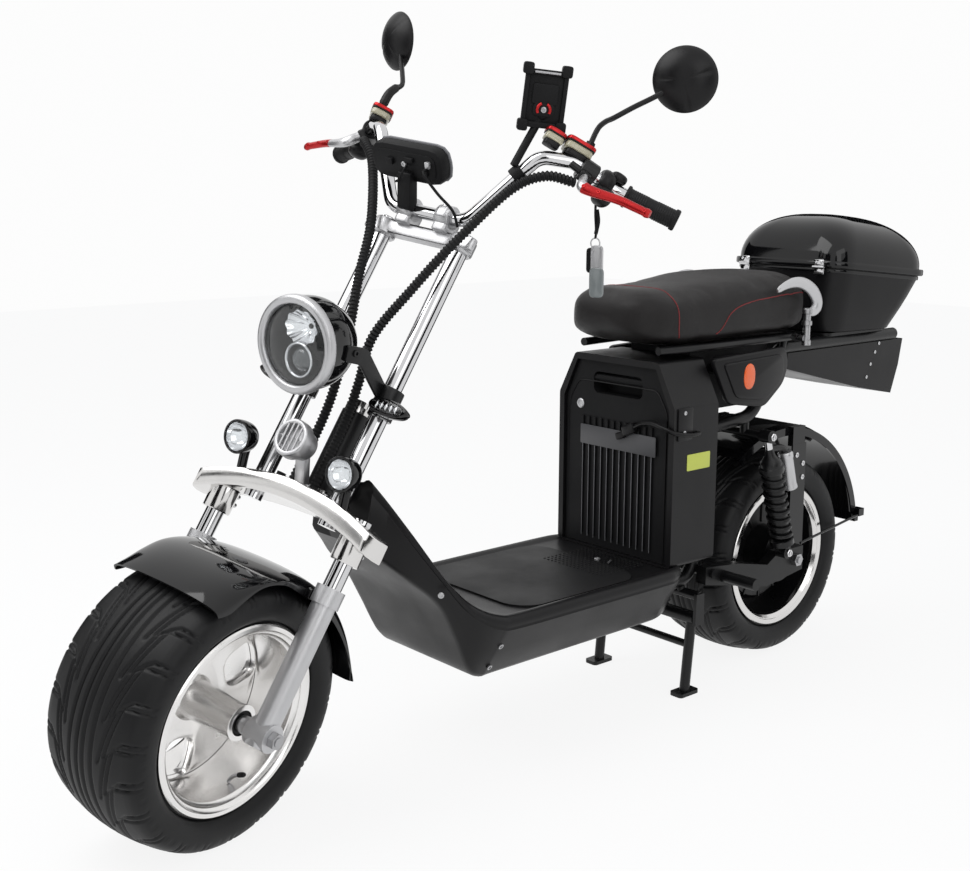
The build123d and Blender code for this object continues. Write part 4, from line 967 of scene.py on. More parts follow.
@dataclass
class Headlight:
    """The round headlight: black bowl, bright ring, and one reflector over a projector behind the glass."""

    radius: float = 80.0
    depth: float = 104.0
    spot: Triple = (168, 0, 587)

    def build(self) -> None:
        """Makes the bowl, ring, glass, reflectors and brackets."""
        lamp = FORK.at(self.spot, RAKE_DEGREES).nose()
        d, r, z = self.depth, self.radius, self.spot[2]
        outer = smooth([(0.1, -d), (24, -d + 1), (50, -d + 14), (68, -d + 40), (77, -40), (r, -8), (r, 0)],
                       40)
        inner = np.array([[r - 3, 0], [r - 4, -10], [60, -34], [0.1, -44]])
        bowl = Shape(lamp).lathe(np.concatenate([outer, inner]), 72)
        bowl.piece("headlight_bowl", GLOSS, "headlight_shell")
        ring = np.array([[r - 13, 8], [r - 11, 12], [r - 4, 13.5], [r + 2, 10], [r + 3, 2], [r + 2, -4],
                         [r - 6, -4], [r - 13, 2]])
        Shape(lamp).lathe(soften(ring, 2.5, 4), 96, closed=True) \
            .piece("headlight_trim_ring", CAST, "headlight_ring")
        glass = smooth([(0.1, 13), (30, 12), (52, 9.5), (r - 12.5, 5)], 14)
        Shape(lamp).lathe(np.concatenate([glass, (glass - [0, 3])[::-1]]), 72) \
            .piece("headlight_glass", CLEAR, "lamp_lenses")
        upper = lamp.at((0, -4, 27.0))
        t = around(96)[:, None]
        k = np.linspace(0.16, 1, 14)[None]
        flutes = 1 + 0.05 * np.cos(10 * t)
        dish = np.stack([34 * k * np.cos(t) * flutes, -26 + 24 * k ** 2 + 0 * t,
                         28 * k * np.sin(t) * flutes], -1)
        Shape(upper).grid(dish, wrap_u=True).piece("headlight_upper_reflector", BRIGHT)
        lower = lamp.at((0, -8, -27.0))
        rim = soften([[25, -20], [31, -20], [31, 2], [28, 5], [25, 2]], 2, 4)
        Shape(lower).lathe(rim, 64, closed=True).piece("headlight_projector_ring", CHROME)
        ball = smooth([(0.1, 4), (10, 2.5), (19, -3), (25, -12)], 12)
        Shape(lower).lathe(np.concatenate([ball, [[0.1, -16]]]), 48) \
            .piece("headlight_projector_lens", SMOKE)
        arms = Shape(FORK)
        for side in (1, -1):
            arms.slab(soften([[-12.0, -12], [24, -12], [102, 14], [140, 2], [150, 28], [104, 44], [22, 16],
                              [-12, 14]], 6) + [0, z], side * 81 - 3, 6, 1, ACROSS)
            arms.bolt((128, side * 84, z + 24), (0, side, 0), 6, 4)
            clamp = Shape(FORK.upright((0, side * TUBE_Y, z)))
            clamp.lathe(soften([[16.6, -15], [23, -15], [23, 15], [16.6, 15]], 1.5, 3), 40, closed=True)
            clamp.piece(f"lamp_clamp_{'left' if side > 0 else 'right'}", POWDER)
        arms.piece("lamp_bracket_arms", POWDER)


@dataclass
class SmallLamps:
    """The two round fog lamps and the horn between them."""

    spots: tuple[Triple, ...] = ((66, 118, 426), (66, -118, 426))
    horn: Triple = (62, 0, 453)

    def build(self) -> None:
        """Makes the lamp pods with bright bowls and glass, and the horn with its grille."""
        pods = Shape(FORK)
        for k, spot in enumerate(self.spots):
            lamp = FORK.at(spot, 22).nose()
            pod = smooth([(0.1, -34), (14, -33), (24, -24), (29, -8), (30, 4), (29, 7)], 24)
            back = np.array([[27, 7], [25.5, 3], [24, -12], [0.1, -22]])
            side = "left" if k == 0 else "right"
            pods.lathe(np.concatenate([pod, back]), 48, local=lamp)
            x, y, z = spot
            pods.rod(smooth([(x - 30, y, z + 2), (x - 32, y, z - 18), (20, y, 372), (8, y, 352)], 24), 8.5,
                     16, LEFT)
            pods.bolt((x - 24, y + (10 if y > 0 else -10), z - 14), (0, np.sign(y), 0), 6, 4)
            bowl = smooth([(0.1, -18), (12, -15), (21, -5), (25, 4)], 14)
            Shape(lamp).lathe(bowl, 48).piece(f"fog_reflector_{side}", BRIGHT)
            glass = smooth([(0.1, 9), (14, 8), (25, 4.5)], 10)
            Shape(lamp).lathe(np.concatenate([glass, (glass - [0, 2])[::-1]]), 48) \
                .piece(f"fog_glass_{side}", CLEAR)
        pods.piece("fog_pods", GLOSS, "fog_lamps")
        horn = FORK.at(self.horn).nose()
        ring = soften([[25, 22], [33, 22], [34, 14], [34, 0], [26, -2], [25, 8]], 2.5, 4)
        Shape(horn).lathe(ring, 56, closed=True).piece("horn_ring", CAST)
        can = soften([[0.1, -30], [20, -30], [25, -26], [28, -6], [26, 6], [0.1, 6]], 2, 4, closed=False)
        body = Shape(horn).lathe(can, 48)
        body.local = FORK
        body.slab(soften([[34.0, 453], [50, 453], [10, 395], [-8, 395]], 4), -11, 22, 1, ACROSS)
        body.piece("horn_can", CAST, "horn")
        bars = Shape(horn)
        for k in range(4):
            x = -15 + 10 * k
            high = math.sqrt(26 ** 2 - x * x)
            bars.rod(np.linspace([x, 20, -high], [x, 20, high], 6), 1.9, 10, LEFT)
        bars.rod(np.linspace([-25, 17, 0], [25, 17, 0], 4), 1.4, 8)
        bars.piece("horn_grille", CAST)


@dataclass
class Sleeves:
    """The two ribbed cable sleeves from the switches down to the neck, behind the headlight."""

    bore: float = 8.2
    ridge: float = 1.2
    pitch: float = 7.0

    def build(self) -> None:
        """Makes each sleeve: a round bar on its route, its radius waved along its length."""
        up = [1050, 1032, 985, 870, 768, 672, 592, 516, 396]
        ahead_across = {
            "left": [(-12, 238), (26, 202), (42, 160), (46, 106), (46, 66), (36, 27), (12, 24), (-2, 24),
                     (-2, 24)],
            "right": [(-12, -238), (26, -200), (38, -148), (46, -82), (44, -54), (34, -28), (12, -24),
                      (-2, -24), (-2, -24)],
        }
        shape = Shape(FORK)
        for spots in ahead_across.values():
            path = smooth([(x, y, z) for (x, y), z in zip(spots, up)], 620)
            run = run_along(path)
            radius = self.bore + self.ridge * np.sin(2 * np.pi * run / self.pitch)
            shape.rod(path, radius, 14, (0.2, 1, 0))
        shape.piece("ribbed_sleeves", GRIP_RUBBER, "cable_sleeves", crease=80)


@dataclass
class Bars:
    """What sits on the handlebar: grips, switch pods, brake reservoirs, levers and mirrors."""

    knee: Triple = (-2.0, 224.0, 1082.0)
    bend: Triple = (-70.0, 284.0, 1076.0)
    end: Triple = (-123.0, 383.0, 1070.0)
    cup_z: float = 1094.5

    def build(self) -> None:
        """Makes both ends of the bar, each drawn on the left and mirrored."""
        knee, bend, end = (np.array(p) for p in (self.knee, self.bend, self.end))
        bar_way, grip_way = unit(bend - knee), unit(end - bend)
        lever_way = np.array([0.41, 0.465, -0.78])
        lever_way = unit(lever_way - bar_way * (lever_way @ bar_way))
        grips, pods, steel = shapes(FORK, 3)
        cups, lids, blades, roots = shapes(FORK, 4)
        for side in (1, -1):
            flip = np.array([1.0, side, 1.0])
            self.grip(grips, end * flip, grip_way * flip)
            self.perch(pods, steel, knee, bar_way, lever_way, flip)
            places = [(np.array([-1.5, 222, self.cup_z]), 1.0)]
            if side > 0:
                places.append((np.array([-1.5, 222, self.cup_z - 3]) - bar_way * 47 * [1, 1, 0], 0.66))
            for spot, share in places:
                self.reservoir(pods, cups, lids, spot * flip, bar_way * flip, share)
            foot = knee + bar_way * 26
            root = [foot + lever_way * 16, foot + lever_way * 34, foot + lever_way * 52,
                    foot + lever_way * 58 + [-5, 17, -1]]
            tip = [root[3], (-16, 330, 1035), (-24, 362, 1031), (-31, 389, 1027)]
            whole = smooth(root[:3] + tip, 60) * flip
            size = np.interp(np.linspace(0, 1, 60), [0, 0.25, 0.4, 0.6, 0.93, 0.96, 1],
                             [7, 7.5, 8, 6, 5.4, 6.6, 5])
            cut = 24 if side > 0 else 36
            roots.rod(whole[:cut + 1], size[:cut + 1], 16, UP, 1.3)
            blades.rod(whole[cut:], size[cut:] + 0.3, 16, UP, 1.3)
            for k in (cut + 1, cut + 9, 56):
                blades.bolt(whole[k] + [size[k] * 0.9, 0, 0], (1, 0.2 * side, 0), 3.4, 2.4)
        grips.piece("ribbed_grips", GRIP_RUBBER, "grips")
        pods.piece("switch_pods", SATIN, "bar_controls")
        steel.piece("perch_clamps", BLACK_ALLOY)
        cups.piece("reservoir_cups", AMBER)
        lids.piece("reservoir_lids", RED_METAL)
        roots.piece("lever_roots", CAST)
        blades.piece("lever_blades", RED_METAL, "brake_levers")
        self.mirrors()

    def grip(self, shape: Shape, end: Array, way: Array) -> None:
        """Adds one grip: a collar, ribs in two runs and an end flange."""
        run = np.linspace(-85, -3, 200)
        rib = 0.7 * np.abs(np.sin(np.pi * run / 4.1)) * (np.abs(run + 45) > 9)
        profile = np.concatenate([[[BAR_BORE, -93.5], [19, -93.5], [20, -92], [20, -89], [17, -87]],
                                  np.stack([16.1 + rib, run], -1),
                                  [[18.5, -2], [19, 0], [19, 4], [17.5, 6.2], [0.1, 6.4]]])
        shape.lathe(profile, 40, local=FORK.facing(end, way))

    def perch(self, pods: Shape, steel: Shape, knee: Array, bar_way: Array, lever_way: Array,
              flip: Array) -> None:
        """Adds the master cylinder's clamp and body, and the rounded switch pod beside it."""
        way = bar_way * flip
        ring = np.array([[BAR_BORE, -16], [18.5, -16], [20, -14.5], [20, 14.5], [18.5, 16], [BAR_BORE, 16]])
        steel.lathe(ring, 40, closed=True, local=FORK.facing((knee + bar_way * 30) * flip, way))
        foot = knee + bar_way * 26
        steel.block((foot + lever_way * 20) * flip, (22, 20, 17), 3, lever_way * flip, way, 5)
        steel.rod(line(foot + lever_way * 12 + bar_way * 4, foot + lever_way * 8 - bar_way * 30, 6) * flip,
                  7.5, 20)
        steel.bolt((foot + lever_way * 26 + [0, 0, 8]) * flip, UP, 5, 4)
        pod = np.array([[BAR_BORE, -13], [19, -13], [22.5, -9.5], [24, -4], [24, 4], [22.5, 9.5], [19, 13],
                        [BAR_BORE, 13]])
        pods.lathe(pod, 44, closed=True, local=FORK.facing((knee + bar_way * 67) * flip, way))
        low = knee + bar_way * 70 + np.array([4.0, 6, -26])
        pods.ball(low * flip, (21, 17, 17), way, AHEAD, 0.8)
        pods.block((low + [16, 0, 5]) * flip, (8, 12, 14), 2, way, AHEAD, 2)
        high = knee + bar_way * 84 + np.array([2.0, 4, 20])
        pods.ball(high * flip, (15, 15, 9), way, AHEAD, 0.7)

    def reservoir(self, base: Shape, cups: Shape, lids: Shape, spot: Array, way: Array, share: float) -> None:
        """Adds one fluid reservoir from its foot to its lid: see-through cup, dark seal, red lid."""
        side = (way[0], way[1], 0)
        for shape, low, high, wide, deep, edge in ((base, -7, 3, 44, 32, 2), (cups, 2, 14, 52, 38, 2.5),
                                                   (base, 13.6, 16, 55, 41, 0.6),
                                                   (lids, 15.6, 23, 56, 42, 2.2),
                                                   (lids, 22, 25.6, 38, 26, 1.2)):
            shape.block(spot + [0, 0, (low + high) / 2], (wide * share, deep * share, high - low), edge,
                        UP, side, 11 * share)
        for u in (-20, 20):
            base.bolt(spot + np.array([way[0], way[1], 0]) * u * share + [0, 0, 22], UP, 2.6, 1.8)

    def mirrors(self) -> None:
        """Adds the mirror stalks with their adjusters, the creased backs and the glasses."""
        way = level_way(22)
        spot = np.array([-60.0, 325, 1305])
        foot = self.cup_z + 26.3
        shape, glass = shapes(FORK, 2)
        turn = around(96)[:, None]
        k = np.concatenate([[0.001], np.linspace(0.08, 0.97, 22), [1.0]])[None]
        crease = sum(np.exp(-((np.angle(np.exp(1j * (turn - a)))) / 0.09) ** 2) for a in (0.9, 2.6, 4.4))
        dome = 24 * (1 - k ** 2.4) ** 0.8 - 2.4 * crease * np.sin(np.pi * k) ** 0.8 * k
        back = np.stack([57 * k * np.cos(turn), dome, 57 * k * np.sin(turn)], -1)
        for side in (1, -1):
            flip = np.array([1.0, side, 1.0])
            path = smooth([(-10, 236, foot - 4), (-10, 236, foot + 34), (-20, 237, foot + 56),
                           (-36, 240, foot + 76), (-45, 262, 1228), (-54, 290, 1262), (-58, 312, 1290),
                           spot + way * 6], 70) * flip
            shape.rod(path, 4.8, 16, (1, 0.1, 0))
            if side < 0:
                adjuster = np.interp(np.arange(23), [0, 2, 4, 18, 20, 22], [6.5, 9, 9, 8, 6, 5.2])
                shape.rod(path[3:26], adjuster, 18, (1, 0.1, 0))
            shape.rod(line((-10, 236, foot - 6), (-10, 236, foot + 6), 3) * flip, 9, 6, AHEAD)
            head = FORK.facing(spot * flip, way * flip, UP)
            shape.local = glass.local = head
            shape.grid(back, wrap_u=True)
            shape.lathe([[57, 0.3], [57.4, -2], [56, -4.5], [54, -4.5], [53, -2.5]], 96)
            glass.lathe([[53.4, -2.6], [0.1, -2.6]], 96)
            shape.local = FORK
        shape.piece("mirror_shells", SATIN, "mirrors", crease=45)
        glass.piece("mirror_glasses", BRIGHT)


@dataclass
class Dash:
    """The display on its bracket, and the phone holder."""

    spot: Triple = (84.0, -36.0, 978.0)
    normal: Triple = (0.6, 0.0, -0.8)
    phone: Triple = (76.0, 171.0, 1146.0)
    phone_yaw: float = 38.0

    def build(self) -> None:
        """Makes both."""
        self.display()
        self.holder()

    def display(self) -> None:
        """Makes the slab with its pale bezel, the screen, plugs on its back and the bracket."""
        n, spot = np.array(self.normal), np.array(self.spot)
        across = LEFT
        body = Shape(FORK)
        body.block(spot - n * 13, (160, 66, 26), 6, self.normal, across, 28)
        body.block(spot + n * 0.5, (132, 44, 3), 1, self.normal, across, 16)
        for u, v, size in ((-34, 2, (14, 12, 7)), (10, 10, (20, 9, 8)), (44, -8, (11, 15, 7))):
            here = spot + n * 4 + [0, u, 0] + np.array([0.8, 0, 0.6]) * v
            body.block(here, size, 1, self.normal, across, 2)
        body.piece("display_slab", MATTE, "display")
        plug = Shape(FORK).block(spot + n * 6 + [4, 52, 6], (10, 12, 8), 1, self.normal, across, 1.5)
        plug.bolt(spot + n * 9 + [0, 0, 4], self.normal, 5, 3)
        plug.piece("display_plug", CAST)
        bezel = Shape(FORK).block(spot - n * 26.5, (163, 69, 4.5), 1.6, self.normal, across, 29)
        bezel.piece("display_bezel", GREY)
        screen = Shape(FORK).block(spot - n * 29.2, (140, 48, 1.2), 0.4, self.normal, across, 20)
        screen.piece("display_screen", SMOKE)
        bracket = Shape(FORK)
        web = soften([[66.0, 980], [52, 962], [27, 934], [27, 915], [41, 915], [80, 962]], 3)
        bracket.slab(web, -50, 28, 1, ACROSS)
        bracket.rod(smooth([(86, -30, 972), (95, -26, 962), (86, -34, 946), (70, -52, 948),
                            (60, -40, 962)], 30), 2, 10)
        bracket.rod(smooth([(88, 14, 972), (98, 22, 958), (76, 50, 938), (46, 72, 926), (24, 80, 908)],
                           36), 2.6, 10)
        bracket.piece("display_bracket", MATTE)

    def holder(self) -> None:
        """Makes the phone holder: plate, corner jaws, inner clamp, red ring, stem and bar clamp."""
        face = level_way(self.phone_yaw)
        upright = np.array([math.sin(RAKE), 0, math.cos(RAKE)])
        side = np.cross(upright, face)
        spot = np.array(self.phone)
        black = Shape(FORK)

        def plate(u: float, v: float, w: float, size: Triple, corner: float) -> None:
            """Adds a block on the holder: u across, v up, w ahead of its face."""
            black.block(spot + side * u + upright * v + face * w, size, 1.5, face, side, corner)

        plate(0, 2, -9, (66, 96, 8), 8)
        for u in (-33, 33):
            plate(u, 0, -8, (8, 100, 13), 3)
            for v in (-44, 50):
                plate(u, v, -9, (18, 20, 22), 5)
        plate(0, 44, -4, (56, 6, 5), 2)
        plate(0, 10, -3, (44, 34, 7), 4)
        plate(0, -16, -3, (38, 22, 7), 9)
        plate(0, -42, -4, (50, 10, 8), 3)
        stem = spot - upright * 24 - face * 14
        clamp_way = unit([30 - 14, 178 - 84, 1064 - 925.0])
        clamp = np.array([14, 84, 925.0]) + clamp_way * 122
        black.rod(smooth([clamp + [20, -4, 6], (clamp + stem) / 2 + [8, -4, 0], stem], 16), 7, 16)
        black.ball(stem, (13, 13, 13), face, side)
        black.lathe([[BAR_BORE, -10], [17, -10], [18, -9], [18, 9], [17, 10], [BAR_BORE, 10]], 40,
                    closed=True, local=FORK.facing(clamp, clamp_way))
        black.piece("phone_holder_frame", MATTE, "phone_holder")
        ring = Shape(FORK)
        for start, end in ((-0.5, 1.1), (2.0, 3.7)):
            a = np.linspace(start, end, 20)[:, None]
            arc = spot - upright * 16 + face * 1.5 + 11 * (np.cos(a) * side + np.sin(a) * upright)
            ring.rod(arc, 2.6, 10, face)
        ring.piece("phone_ring", RED_METAL)
        knob = Shape(FORK).bolt(spot - upright * 16 + face * 0.4, face, 5, 3)
        knob.rod(line(spot + side * 22 + upright * 45, spot - side * 22 + upright * 45, 3), 2.2, 10)
        knob.piece("phone_knob", STEEL)


@dataclass
class Keys:
    """Two fobs and a flat key tag on short cords, plumb with the bars as parked."""

    hook: Triple = (-54.6, 261.7, 1054.0)
    plumb: Triple = (0.5166, -0.153, 0.8425)

    def build(self) -> None:
        """Makes the cord, ring, dark fob, silver-framed fob and grey tag."""
        hook, plumb = np.array(self.hook), unit(self.plumb)
        across = unit(np.cross(np.cross([0, 1.0, 0], plumb), plumb))
        out = np.cross(across, plumb)

        def at(u: float, drop: float, w: float) -> Triple:
            """A point of the bunch: u across, drop under the hook, w out of its plane."""
            return hook + across * u - plumb * drop + out * w

        dark, bright, pale = shapes(FORK, 3)
        dark.rod(smooth([at(0, -1, 0), at(1, 30, 0), at(-1, 60, 0), at(0, 74, 0)], 16), 2.2, 12, AHEAD)
        dark.rod(smooth([at(-1, 24, 2), at(-4, 44, 2), at(0, 66, 1)], 12), 3.4, 12, AHEAD)
        dark.block(at(7, 112, 4), (24, 44, 8), 2.5, out, across, 7)
        dark.block(at(5, 98, 4), (16, 14, 9), 2.0, out, across, 3)
        a = np.linspace(0, 2 * np.pi, 28)[:, None]
        loop = hook - plumb * 82 + 9 * (np.cos(a) * plumb + np.sin(a) * across)
        bright.rod(loop, 1.2, 10, out)
        bright.block(at(-5, 112, -2), (24, 54, 5), 1.5, out, across, 9)
        dark.block(at(-6, 114, 1.2), (14, 38, 2), 0.8, out, across, 5)
        pale.block(at(-6, 150, -4), (28, 52, 6), 2.0, out, across, 9)
        dark.piece("key_fob_dark", MATTE, "key_fobs")
        bright.piece("key_ring_and_frame", CAST)
        pale.piece("key_tag_grey", TAG)


@dataclass
class Yokes:
    """The cast top clamp with its riser clamps, the arched lower yoke with its stem, and their bolts."""

    tube_top: float = 900.0
    bar_x: float = 14.0
    bar_z: float = 925.0

    def build(self) -> None:
        """Makes the top clamp, its tube clamps, caps and risers, the bolts and then the lower yoke."""
        cast, bright, dark = shapes(FORK, 3)
        top = self.tube_top
        outline = np.array([[-13.0, -70], [-25, -87], [-15, -104], [-4, -110], [10, -124], [22, -118],
                            [22, -96], [24, -84], [13, -62], [13, 62], [24, 84], [22, 96], [22, 118],
                            [10, 124], [-4, 110], [-15, 104], [-25, 87], [-13, 70]])
        cast.slab(soften(outline, 9, 5), top - 25, 23, 3)
        for side in (1, -1):
            clamp = FORK.upright((0, side * TUBE_Y, top))
            cast.lathe([[16.7, -30], [22, -30], [24.5, -27], [24.5, -4], [22, 0], [16.7, 0]], 48, True, clamp)
            bright.lathe([[17.5, -2], [17.5, 3], [15.5, 5], [8, 5], [7, 2.5], [0.1, 2.5]], 48, local=clamp)
            x, y = self.bar_x - 8, side * 42
            cast.block((x, y, (top + self.bar_z) / 2 - 3), (42, 30, self.bar_z - top + 4), 3, UP, AHEAD, 6)
            cast.lathe([[BAR_BORE, -15], [20, -15], [21.5, -13], [21.5, 13], [20, 15], [BAR_BORE, 15]], 48,
                       closed=True, local=FORK.facing((self.bar_x, y, self.bar_z), LEFT))
            for dx in (-18, 18):
                bright.bolt((self.bar_x + dx, y, self.bar_z + 12), UP, 4.6, 4)
                cast.block((self.bar_x + dx, y, self.bar_z + 2), (10, 22, 20), 2, UP, AHEAD, 4)
            bright.bolt((16, side * 112, top - 13), (1, 0.3 * side, 0), 5, 4)
            for z in (322, 338):
                bright.bolt((-37, side * 150, z), (-1, 0, 0), 4.4, 4)
            dark.rod(line((-10, side * 60, 396), (-10, side * 60, 404), 3), 9, 6, AHEAD)
            for y, x in ((24, 16), (38, -20), (66, 14)):
                bright.bolt((x, side * y, 393 - 0.0009 * y * y), (0, 0.1 * side, 1), 4.2, 4)
        cast.piece("upper_yoke_casting", CAST, "upper_yoke")
        bright.piece("yoke_bolts", CHROME)
        dark.piece("yoke_nuts", BLACK_ALLOY)
        self.lower()

    def lower(self) -> None:
        """Makes the arched lower yoke with its two bosses, and the steering stem behind it."""
        shape = Shape(FORK)
        half = 205.0
        y = np.linspace(-half, half, 90)
        arc = 1 - (y / half) ** 2
        low, high = 319 + 40 * arc, 353 + 42 * arc
        front = 10 + 24 * np.clip((half - np.abs(y)) / 10, 0, 1) ** 0.5
        back = np.interp(np.abs(y), [0, 24, 130, 197, half], [-74, -74, -26, -26, -16])
        ring = box_outline(2, 2, 0.16, 4)
        x = (front + back)[:, None] / 2 + (front - back)[:, None] / 2 * ring[:, 0]
        z = (low + high)[:, None] / 2 + (high - low)[:, None] / 2 * ring[:, 1]
        shape.tube(np.stack([x, y[:, None] + 0 * x, z], -1))
        boss = np.array([[17.0, 299], [24, 299], [25.5, 301], [25.5, 343], [17, 343]])
        stem = np.array([[0.1, 377], [15, 377], [15, 553], [24, 553], [24, 564], [15, 564], [15, 576],
                         [0.1, 576]])
        for spot, profile in (((0, 150, 0), boss), ((0, -150, 0), boss), ((-50, 0, 0), stem)):
            shape.lathe(profile, 48, profile is boss, FORK.upright(spot))
        shape.piece("lower_yoke_casting", POLISHED, "lower_yoke")


@dataclass
class TurnSignals:
    """The two leaf-shaped turn signals in front of the fork tubes."""

    spot: Triple = (38.0, 127.0, 560.0)

    def build(self) -> None:
        """Makes the collars, stems and pods, and their clear lenses over small mirrors."""
        dark, lens, bright = shapes(FORK, 3)
        x, y, z = self.spot
        for side in (1, -1):
            dark.lathe([[16.7, -9], [21.5, -9], [22.5, -8], [22.5, 8], [21.5, 9], [16.7, 9]], 40,
                       closed=True, local=FORK.upright((0, side * TUBE_Y, z - 4)))
            dark.block((24, side * 95, z - 4), (26, 20, 16), 3, UP, AHEAD, 5)
            t = around(56)
            leaf = np.stack([40 * np.cos(t), 15 * np.sin(t) * (1 - 0.25 * side * np.cos(t) ** 3)], -1)
            dark.slab(leaf + [side * y, z], x - 11, 20, 4, FACING)
            dark.ball((x - 10, side * y, z), (10, 36, 13), LEFT, AHEAD, 0.85)
            lens.ball((x + 8, side * y, z), (5, 34, 11), LEFT, AHEAD, 0.85)
            for k in range(5):
                bright.ball((x + 8.5, side * (y - 20 + 10 * k), z), (3.6, 4, 7), LEFT, AHEAD)
        dark.piece("turn_signal_pods", GLOSS, "turn_signals")
        lens.piece("turn_signal_lenses", CLEAR)
        bright.piece("turn_signal_mirrors", BRIGHT)


@dataclass
class Battery:
    """What shows on the battery and its housing: grey strips painted on the ridge edges as highlight, blank
    label, lock, plug, port and sticker.
    """

    front: float = 444.0
    half: float = 165.0

    def build(self) -> None:
        """Makes the details that stand on the two housings."""
        x, y = self.front, self.half
        # Thin grey strips on each ridge's edge are painted highlight: the light that the edges catch.
        edges = Shape(CHASSIS)
        for k in range(12):
            at_y = -99 + 18 * k + 3.1
            edges.block((x + 4.2, at_y, 424), (1.3, 204, 1.0), 0.3, AHEAD, LEFT, 0.3)
        edges.piece("battery_ridge_painted_highlights", GREY)
        Shape(CHASSIS).block((x + 4.9, 6, 547), (216, 42, 1.2), 0.4, AHEAD, LEFT, 3) \
            .piece("battery_blank_label", LABEL)
        lock = Shape(CHASSIS)
        lock.lathe([[10.5, -1], [10.5, 2], [9, 3.4], [7, 3.4], [6.5, 2], [5.5, 2.2], [0.1, 2.6]], 40,
                   local=CHASSIS.facing((x, -107, 611), AHEAD))
        for px, pz in ((423, 623), (424, 583)):
            lock.bolt((px, y + 2.6, pz), LEFT, 4.2, 2)
        lock.bolt((511, 16, 300.5), UP, 6.5, 4)
        lock.rod(line((500, 44, 303), (516, 52, 303), 3), 2.0, 10)
        lock.piece("battery_lock_and_screws", CAST)
        dark = Shape(CHASSIS)
        dark.block((420.5, y + 1.2, 600), (44, 68, 4), 1.0, LEFT, AHEAD, 5)
        dark.block((x + 8, 44, 576), (34, 22, 16), 3, AHEAD, (0, 1, 0.4), 5)
        dark.block((x + 8, 20, 560), (24, 15, 12), 2, AHEAD, (0, 1, 0.4), 4)
        lead = smooth([(x + 10, 58, 582), (x + 14, 84, 594), (x + 16, 116, 598), (x + 16, 146, 592),
                       (x + 6, 168, 584), (416, 175, 578), (390, 174, 577), (378, 168, 577)], 60)
        dark.rod(lead, 4.4, 14)
        panel = soften([[-140.0, 308], [-140, 620], [-112, 664], [112, 664], [140, 620], [140, 308]], 14, 5,
                       closed=False)
        dark.rod(np.concatenate([np.full((len(panel), 1), x + 0.4), panel], 1), 1.6, 8, AHEAD)
        dark.piece("battery_plug_and_port", SATIN)
        Shape(CHASSIS).block((374.5, y + 0.4, 518), (71, 34, 0.9), 0.3, LEFT, AHEAD, 3) \
            .piece("blank_sticker", LIME)


@dataclass
class Deck:
    """The step-through deck with its rolled rim and neck, its dotted rubber and its screws."""

    top: float = 302.0
    pitch: float = 11.0

    def body(self) -> None:
        """Makes the deck's skin: one section carried from the battery along the floor and up the neck."""
        stations = [(425, 300, 425, 188, 172, 0.73), (452, 300, 452, 187, 186, 0.73),
                    (500, 300, 500, 186, 190, 0.73), (700, 300, 700, 184, 190, 0.73),
                    (880, 300, 900, 182, 190, 0.73), (926, 306, 938, 183, 189, 0.74),
                    (970, 326, 968, 206, 184, 0.78), (1010, 360, 1000, 272, 176, 0.84),
                    (1050, 412, 1036, 339, 164, 0.9), (1086, 474, 1084, 388, 140, 0.95),
                    (1116, 532, 1122, 426, 108, 0.95), (1135, 567, 1152, 456, 86, 0.95)]
        table = smooth(stations, 150)
        rows = []
        for tx, tz, bx, bz, wide, share in table:
            high = math.hypot(tx - bx, tz - bz)
            low = wide * share
            half = np.array([(0, high - 1), (wide * 0.55, high - 1), (wide - 34, high - 1),
                             (wide - 28, high + 0.5), (wide - 22, high + 4), (wide - 14, high + 6),
                             (wide - 6, high + 3.5), (wide - 1, high - 3), (wide, high - 11),
                             (wide - 2.5, high - 15), (wide - 2.5, high - 17), (wide - 1, high - 20),
                             (0.5 * (wide + low), 0.45 * high), (low + 2, 9), (low - 4, 3), (low - 12, 0),
                             (0, 0)])
            both = np.concatenate([half, (half * [-1, 1])[-2:0:-1]])
            up = np.array([tx - bx, 0, tz - bz]) / high
            rows.append(np.array([bx, 0, bz]) + both[:, 1:] * up + both[:, :1] * [0, 1, 0])
        Shape(CHASSIS).tube(np.array(rows)).piece("deck_skin", SATIN, "deck_body", crease=42)

    def build(self) -> None:
        """Makes the skin, the studs as one mesh and the screws on the deck's sides."""
        self.body()
        studs = Shape(CHASSIS)
        u, v = np.meshgrid(np.arange(470, 602, self.pitch), np.arange(-60, 116, self.pitch), indexing="ij")
        for x, y in zip(u.ravel(), v.ravel()):
            ring = ring_outline(2.4, 8) + [x, y]
            studs.slab(ring, self.top - 0.5, 1.7, 0.5)
        studs.piece("deck_studs", MAT)
        screws = Shape(CHASSIS)
        for side in (1, -1):
            for x, z in ((1052, 372), (918, 249), (927, 205)):
                spot, out = skin("deck_body", CHASSIS, (x, side * 400, z), (0, -side, 0))
                screws.bolt(spot, out, 5.5, 2.4)
        screws.piece("deck_screws", STEEL)


@dataclass
class Covers:
    """The side covers with their rolled edge and the domed orange reflectors."""

    outline: tuple[tuple[float, float], ...] = ((324, 722), (268, 622), (146, 602), (80, 650), (66, 690),
                                                (78, 730))

    def build(self) -> None:
        """Makes covers and reflectors on both sides."""
        shells, domes = shapes(CHASSIS, 2)
        corners = np.array(self.outline, float)
        middle = corners.mean(0)
        for side in (1, -1):
            outer = soften(corners, 18, 6)
            inner = soften(middle + (corners - middle) * [0.8, 0.76], 14, 6)
            shells.slab(outer, side * 145 - 7, 14, 5, ACROSS)
            shells.slab(inner, side * 152 - 4, 8, 3, ACROSS)
            for x in (130, 250):
                shells.rod(line((x, side * 84, 690), (x, side * 140, 690), 3), 9, 16, AHEAD)
            # The domes' finish glows a little: painted light on reflectors that are no lamp.
            domes.ball((207, side * 156, 676), (18.5, 4.5, 27.5), (0, side, 0), AHEAD, 0.9)
        shells.piece("side_cover_shells", SATIN, "side_covers")
        domes.piece("orange_reflector_domes", ORANGE, "side_reflectors")


